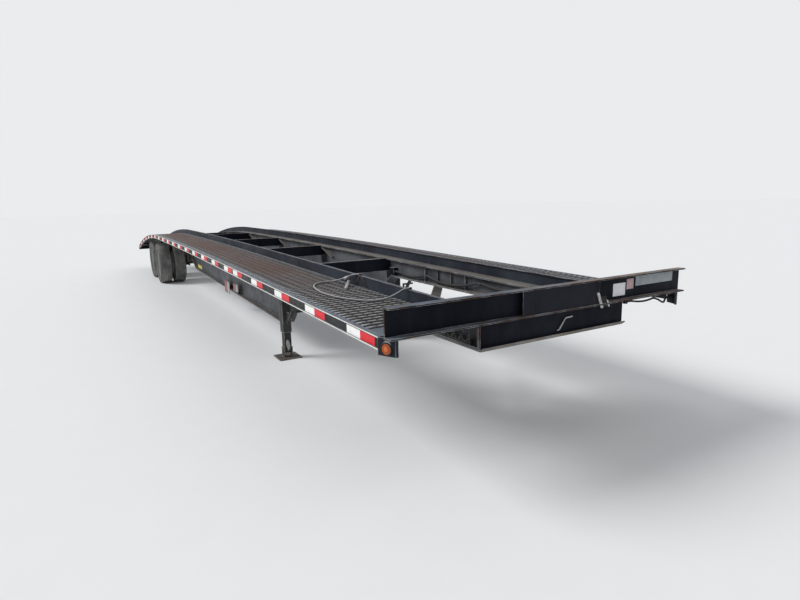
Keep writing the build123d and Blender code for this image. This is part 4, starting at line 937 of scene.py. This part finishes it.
def deck_hook():
    """A steel hook that lies on the right runway, and two thin black bars over the curb beside it: a strap, and
    a painted shadow of the cable on the curb's face.
    """
    rows = (
        # x, y, height over the deck line
        (5.775, -0.838, 0.010),
        (5.722, -0.803, 0.011),
        (5.667, -0.772, 0.014),
        (5.616, -0.738, 0.021),
        (5.580, -0.712, 0.036),
        (5.566, -0.706, 0.056),
        (5.580, -0.726, 0.072),
        (5.612, -0.758, 0.074),
        (5.634, -0.778, 0.066),
    )
    hook_size = (0.0135, 0.0085)
    hook_steps = 12
    hook = Piece()
    hook.bar([(x, y, deck_z(x) + height) for x, y, height in rows], *hook_size, hook_steps)
    hook.made("deck_hook", FINISHES["bare_steel"])
    strap_and_shadow_size = (0.0022, 0.010)
    strap_and_shadow_rows = (
        # x, y, height over the deck line: the top, then the strap's foot and the painted shadow's foot
        (5.700, -0.6575, 0.087),
        (5.590, -0.6585, 0.002),
        (5.815, -0.6585, 0.002),
    )
    top, *feet = [(x, y, deck_z(x) + height) for x, y, height in strap_and_shadow_rows]
    # The forward bar is a painted shadow of the cable on the curb's face; the rearward bar is a strap.
    bracket = Piece()
    for foot in feet:
        bracket.bar([top, foot], *strap_and_shadow_size, 4)
    bracket.made("curb_strap_and_shadow_right", FINISHES["mesh_paint"])


# Lamps

def lamps():
    """Round lenses with moulded rings, and the grommets of the marker lamps."""
    lens_steps = 40
    back_steps = 32
    lens_rows = (
        # distance, radius, painted light: low for painted shade at the rim and in the grooves, high for painted
        # highlight on the ridges and centre
        (-0.003, 0.0315, 0.0), (0.0045, 0.0318, 0.1), (0.0062, 0.0300, 0.7), (0.0068, 0.0270, 0.9),
        (0.0056, 0.0262, 0.0), (0.0056, 0.0250, 0.0), (0.0078, 0.0236, 0.6), (0.0082, 0.0190, 0.8),
        (0.0070, 0.0180, 0.0), (0.0070, 0.0168, 0.0), (0.0090, 0.0150, 0.7), (0.0096, 0.0090, 0.9),
        (0.0099, 0.0045, 1.0), (0.0100, 0.0005, 1.0),
    )
    grommet_rows = ((0.0002, 0.0321), (0.0080, 0.0321), (0.0090, 0.0332), (0.0088, 0.0362), (0.0068, 0.0388),
                    (0.0030, 0.0395), (0.0002, 0.0395))
    back_rows = ((-0.0170, 0.0005), (-0.0170, 0.0250), (-0.0130, 0.0300), (-0.0055, 0.0300), (-0.0055, 0.0005))
    lenses = Piece()
    grommets = Piece()
    x, y, z = lamp_place
    for side in (-1, 1):
        out = (math.sin(lamp_turn), side * math.cos(lamp_turn), 0)
        lenses.turned((x, side * y, z), out, lens_rows, lens_steps)
        grommets.turned((x, side * y, z), out, grommet_rows, lens_steps, hollow=True)
        grommets.turned((x, side * y, z), out, back_rows, back_steps)
    made = lenses.made("marker_lenses", FINISHES["amber_lens"], slot="amber_lens", smooth_deg=50)
    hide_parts("marker_lamps")
    made = grommets.made("marker_grommets", FINISHES["rubber"], slot="rubber", smooth_deg=50)
    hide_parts("lamp_grommets")
    tail = Piece()
    tail_low, tail_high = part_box("tail_lamps")
    scale = tail_lens_radius / marker_lens_radius
    rows = [(max(distance * scale, 0.0), radius * scale, wear) for distance, radius, wear in lens_rows]
    for place in tail_lamp_places:
        for side in (-1, 1):
            start = (tail_high.x, side * place, (tail_low.z + tail_high.z) / 2)
            tail.turned(start, (-1, 0, 0), rows, lens_steps)
    made = tail.made("tail_lenses", FINISHES["red_lens"], slot="red_lens", smooth_deg=50)
    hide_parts("tail_lamps")


# Tyres and wheels

def tyre_ring(turn, centre, notch):
    """One ring of a tyre's section at a turn about its axle, cut deeper at a shoulder notch."""
    half_profile = (
        # half width, radius
        (0.092, 0.2872), (0.101, 0.2880), (0.108, 0.2960), (0.1135, 0.3080), (0.1195, 0.3330),
        (0.1245, 0.3620), (0.1258, 0.3900), (0.1245, 0.4120), (0.1195, 0.4310), (0.1130, 0.4440),
        (0.1050, 0.4515), (0.0980, 0.4535), (0.0700, 0.4555),
        (0.0688, 0.4555 - groove_depth), (0.0612, 0.4555 - groove_depth), (0.0600, 0.4558),
        (0.0290, 0.4570), (0.0278, 0.4570 - groove_depth), (0.0202, 0.4570 - groove_depth), (0.0190, 0.4574),
    )
    shoulder = (0.0980, 0.1130)
    points = []
    for half, radius in half_profile:
        if notch and shoulder[0] <= half <= shoulder[1]:
            radius -= notch_depth
        points.append((half, radius))
    section = [(-half, radius) for half, radius in points]
    section += [(half, radius) for half, radius in reversed(points)]
    x, y, z = centre
    return [(x + math.cos(turn) * radius, y + half, z + math.sin(turn) * radius) for half, radius in section]


def tyres(node, body):
    """A pair of tyres with grooves round them and notches across their shoulders."""
    stations = (
        # share of the pitch, whether it lies in a notch
        (0.00, False),
        (0.66, False),
        (0.68, True),
        (0.98, True),
    )
    low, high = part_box(node)
    x = (low.x + high.x) / 2
    z = (low.z + high.z) / 2
    middle = (low.y + high.y) / 2
    piece = Piece()
    pitch = 2 * math.pi / tyre_pitches
    for side in (-1, 1):
        centre = (x, middle + side * dual_spacing / 2, z)
        sections = []
        for number in range(tyre_pitches):
            start = number * pitch
            for share, notch in stations:
                sections.append(tyre_ring(start + share * pitch, centre, notch))
        piece.rings(sections, closed=True)
    made = piece.made(node + "_treaded", FINISHES["tyre"], body=body, slot="tyre", smooth_deg=40)
    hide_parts(node)


def wheel_nuts(axle, name, body):
    """Nuts and studs round each hub, and the bolts of its cap."""
    low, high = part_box(f"tyres_{axle}_{name}")
    x = (low.x + high.x) / 2
    z = (low.z + high.z) / 2
    side = 1 if high.y > 0 else -1
    middle = (low.y + high.y) / 2
    piece = Piece()
    circles = (
        # count, circle radius, face from the middle, head radius, height
        (nut_count, nut_circle, disc_face_offset, nut_radius, nut_height),
        (hub_bolt_count, hub_bolt_circle, hub_face_offset, hub_bolt_radius, hub_bolt_height),
    )
    for count, circle, face, radius, height in circles:
        for number in range(count):
            turn = 2 * math.pi * (number + 0.5) / count
            start = (x + circle * math.cos(turn), middle + side * face, z + circle * math.sin(turn))
            piece.bolt(start, (0, side, 0), radius, height)
    piece.made(f"wheel_nuts_{axle}_{name}", FINISHES["bare_steel"], body=body, slot="bare_steel")


# Running gear and legs

def spring_ironwork():
    """Nuts of the axle clamps' bolts, and the clips round the springs' leaves."""
    nuts = Piece()
    clips = Piece()
    outside = spring_half_width + clip_thickness
    for side in (-1, 1):
        for axle_x in axle_places:
            for along in (-clamp_bolt_along, clamp_bolt_along):
                for across in (-clamp_bolt_across, clamp_bolt_across):
                    place = (axle_x + along, side * spring_y + across)
                    nuts.bolt((*place, clamp_low), (0, 0, -1), clamp_nut_radius, clamp_nut_height)
                    nuts.bolt((*place, clamp_high), (0, 0, 1), clamp_nut_radius, clamp_head_height)
            for along in (-clip_place, clip_place):
                lift = leaf_curve * along**2
                x_low = axle_x + along - clip_half_length
                x_high = axle_x + along + clip_half_length
                low = leaf_low + lift - clip_room
                high = leaf_high + lift + clip_room
                walls = (
                    # y low, y high, z low, z high, from the spring's middle
                    (-outside, outside, low, low + clip_thickness),
                    (-outside, outside, high - clip_thickness, high),
                    (-outside, -spring_half_width, low, high),
                    (spring_half_width, outside, low, high),
                )
                for y_low, y_high, z_low, z_high in walls:
                    clips.block((x_low, side * spring_y + y_low, z_low),
                                (x_high, side * spring_y + y_high, z_high))
    nuts.made("axle_clamp_nuts", FINISHES["bare_steel"])
    clips.made("spring_clips", FINISHES["spring_steel"])


def leg_ironwork():
    """Bolts on the legs' gearbox, foot pins and mounts."""
    bolts = Piece()
    leg_low, leg_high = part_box("landing_leg_left")
    leg_x = (leg_low.x + leg_high.x) / 2
    gear_face = leg_high.y + gear_case_width
    gear_low_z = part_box("leg_crank")[0].z
    for way in (-1, 1):
        for rise in gear_bolt_rises:
            place = (leg_x + way * gear_bolt_along, gear_face, gear_low_z + rise)
            bolts.bolt(place, (0, 1, 0), *gear_bolt_size)
    for side in (-1, 1):
        for way in (-1, 1):
            place = (leg_x, side * leg_y + way * foot_bolt_across, foot_bolt_z)
            bolts.bolt(place, (0, way, 0), *foot_bolt_size)
        for z in mount_bolt_heights:
            for way in (-1, 1):
                place = (leg_x + way * mount_bolt_along, side * mount_bolt_y, z)
                bolts.bolt(place, (way, 0, 0), *mount_bolt_size)
    bolts.made("leg_bolts", FINISHES["bare_steel"])


def leg_patch():
    """A patch on the right leg's lower post where the paint is gone."""
    outline = (
        # y, z
        (-0.751, 0.196), (-0.741, 0.214), (-0.724, 0.206), (-0.712, 0.172), (-0.706, 0.124),
        (-0.715, 0.088), (-0.724, 0.104), (-0.733, 0.078), (-0.743, 0.121), (-0.754, 0.152),
    )
    patch = Piece()
    patch.prism([(leg_face_x, y, z) for y, z in outline], (tape_thickness, 0, 0))
    patch.made("leg_bare_patch", FINISHES["worn_rod"])


def weld_beads():
    """Ripples of weld where the outriggers meet the girders and rails."""
    beads = Piece()
    for name, side in (("left", 1), ("right", -1)):
        places = sorted({round(v.co.x, 3) for v in frame["nodes"][f"outriggers_{name}"].data.vertices})
        for x in places:
            z = deck_z(min(x, weld_last_x)) - weld_drop
            for y in (weld_girder_y, half_width - weld_rail_inset):
                ripple(beads, (x, side * y, z), (x, side * y, z - weld_length), weld_radius)
    beads.made("weld_beads", FINISHES["frame_paint"])


def ripple(piece, start, end, radius):
    """A bead of weld between two points, swelling and narrowing along its length."""
    start = Vector(start)
    end = Vector(end)
    steps = max(4, int((end - start).length / weld_step))
    rows = []
    for step in range(steps + 1):
        swell = 1.0 + 0.25 * (step % 2) - (0.6 if step in (0, steps) else 0.0)
        rows.append(((end - start).length * step / steps, radius * swell))
    piece.turned(start, end - start, rows, 8)


# Stage

def camera_view():
    """The camera, as the photograph was taken."""
    level_reach = math.cos(camera_pitch)
    ahead = Vector((-math.cos(camera_yaw) * level_reach, math.sin(camera_yaw) * level_reach,
                    -math.sin(camera_pitch)))
    level = ahead.cross(Vector((0, 0, 1))).normalized()
    upright = level.cross(ahead)
    right = math.cos(camera_roll) * level + math.sin(camera_roll) * upright
    up = math.cos(camera_roll) * upright - math.sin(camera_roll) * level
    data = bpy.data.cameras.new("camera")
    data.sensor_width = sensor_width
    data.lens = sensor_width * focal_pixels / image_width
    data.clip_end = 2 * floor_half
    camera = placed("camera", data)
    turn = Matrix((right, up, -ahead)).transposed().to_4x4()
    camera.matrix_world = Matrix.Translation(camera_place) @ turn
    bpy.context.scene.camera = camera
    bpy.context.scene.view_settings.view_transform = "Standard"


def stage():
    """A pale floor with a faint speckle."""
    mesh = bpy.data.meshes.new("floor")
    corners = [(-1, -1), (1, -1), (1, 1), (-1, 1)]
    mesh.from_pydata([(x * floor_half, y * floor_half, 0) for x, y in corners], [], [(0, 1, 2, 3)])
    floor = placed("floor", mesh)
    finish = Finish("floor", roughness=1.0, specular=0.0)
    speckle = finish.step(finish.noise(3.0, 6, 0.6), 0.2, 0.8, 0.0, 1.0)
    finish.surface_of(Base_Color=finish.mix(speckle, (floor_grey * 0.985,) * 3, (floor_grey,) * 3))
    mesh.materials.append(finish.material)


def backdrop_and_light():
    """A pale backdrop, a soft sky and two wide suns."""
    world = bpy.data.worlds.new("studio")
    bpy.context.scene.world = world
    world.use_nodes = True
    tree = world.node_tree
    background = tree.nodes["Background"]
    background.inputs["Color"].default_value = (0.92, 0.96, 1.0, 1.0)
    background.inputs["Strength"].default_value = sky_light
    backdrop = tree.nodes.new("ShaderNodeBackground")
    backdrop.inputs["Color"].default_value = (*backdrop_colour, 1.0)
    path = tree.nodes.new("ShaderNodeLightPath")
    seen = path.outputs["Is Camera Ray"]
    for kind in ("Is Glossy Ray", "Is Transmission Ray"):
        add = tree.nodes.new("ShaderNodeMath")
        add.operation = "MAXIMUM"
        tree.links.new(seen, add.inputs[0])
        tree.links.new(path.outputs[kind], add.inputs[1])
        seen = add.outputs[0]
    choose = tree.nodes.new("ShaderNodeMixShader")
    tree.links.new(seen, choose.inputs[0])
    tree.links.new(background.outputs[0], choose.inputs[1])
    tree.links.new(backdrop.outputs[0], choose.inputs[2])
    tree.links.new(choose.outputs[0], tree.nodes["World Output"].inputs["Surface"])
    suns = (
        # name, direction to the light, strength, angle
        ("key", (-0.42, -0.66, 0.62), 2.5, 26),
        ("fill", (0.55, 0.45, 0.70), 0.45, 60),
    )
    for name, towards, strength, angle in suns:
        data = bpy.data.lights.new(name, "SUN")
        data.energy = strength
        data.angle = math.radians(angle)
        sun = placed(name, data)
        sun.rotation_euler = Vector(towards).to_track_quat("Z", "Y").to_euler()


def main():
    """Builds every piece round the frame."""
    camera_view()
    loose_cable()
    stage()
    backdrop_and_light()
    dress_nodes()
    for section in ("neck", "middle", "rear", "tail"):
        for name in ("left", "right"):
            grating(f"runway_{section}_{name}")
    rail_tape()
    girder_marks()
    front_labels()
    front_fittings()
    deck_hook()
    lamps()
    spring_ironwork()
    leg_ironwork()
    leg_patch()
    weld_beads()
    for axle in ("front", "rear"):
        for name in ("left", "right"):
            body = f"wheels_{axle}_{name}"
            tyres(f"tyres_{axle}_{name}", body)
            wheel_nuts(axle, name, body)


main()
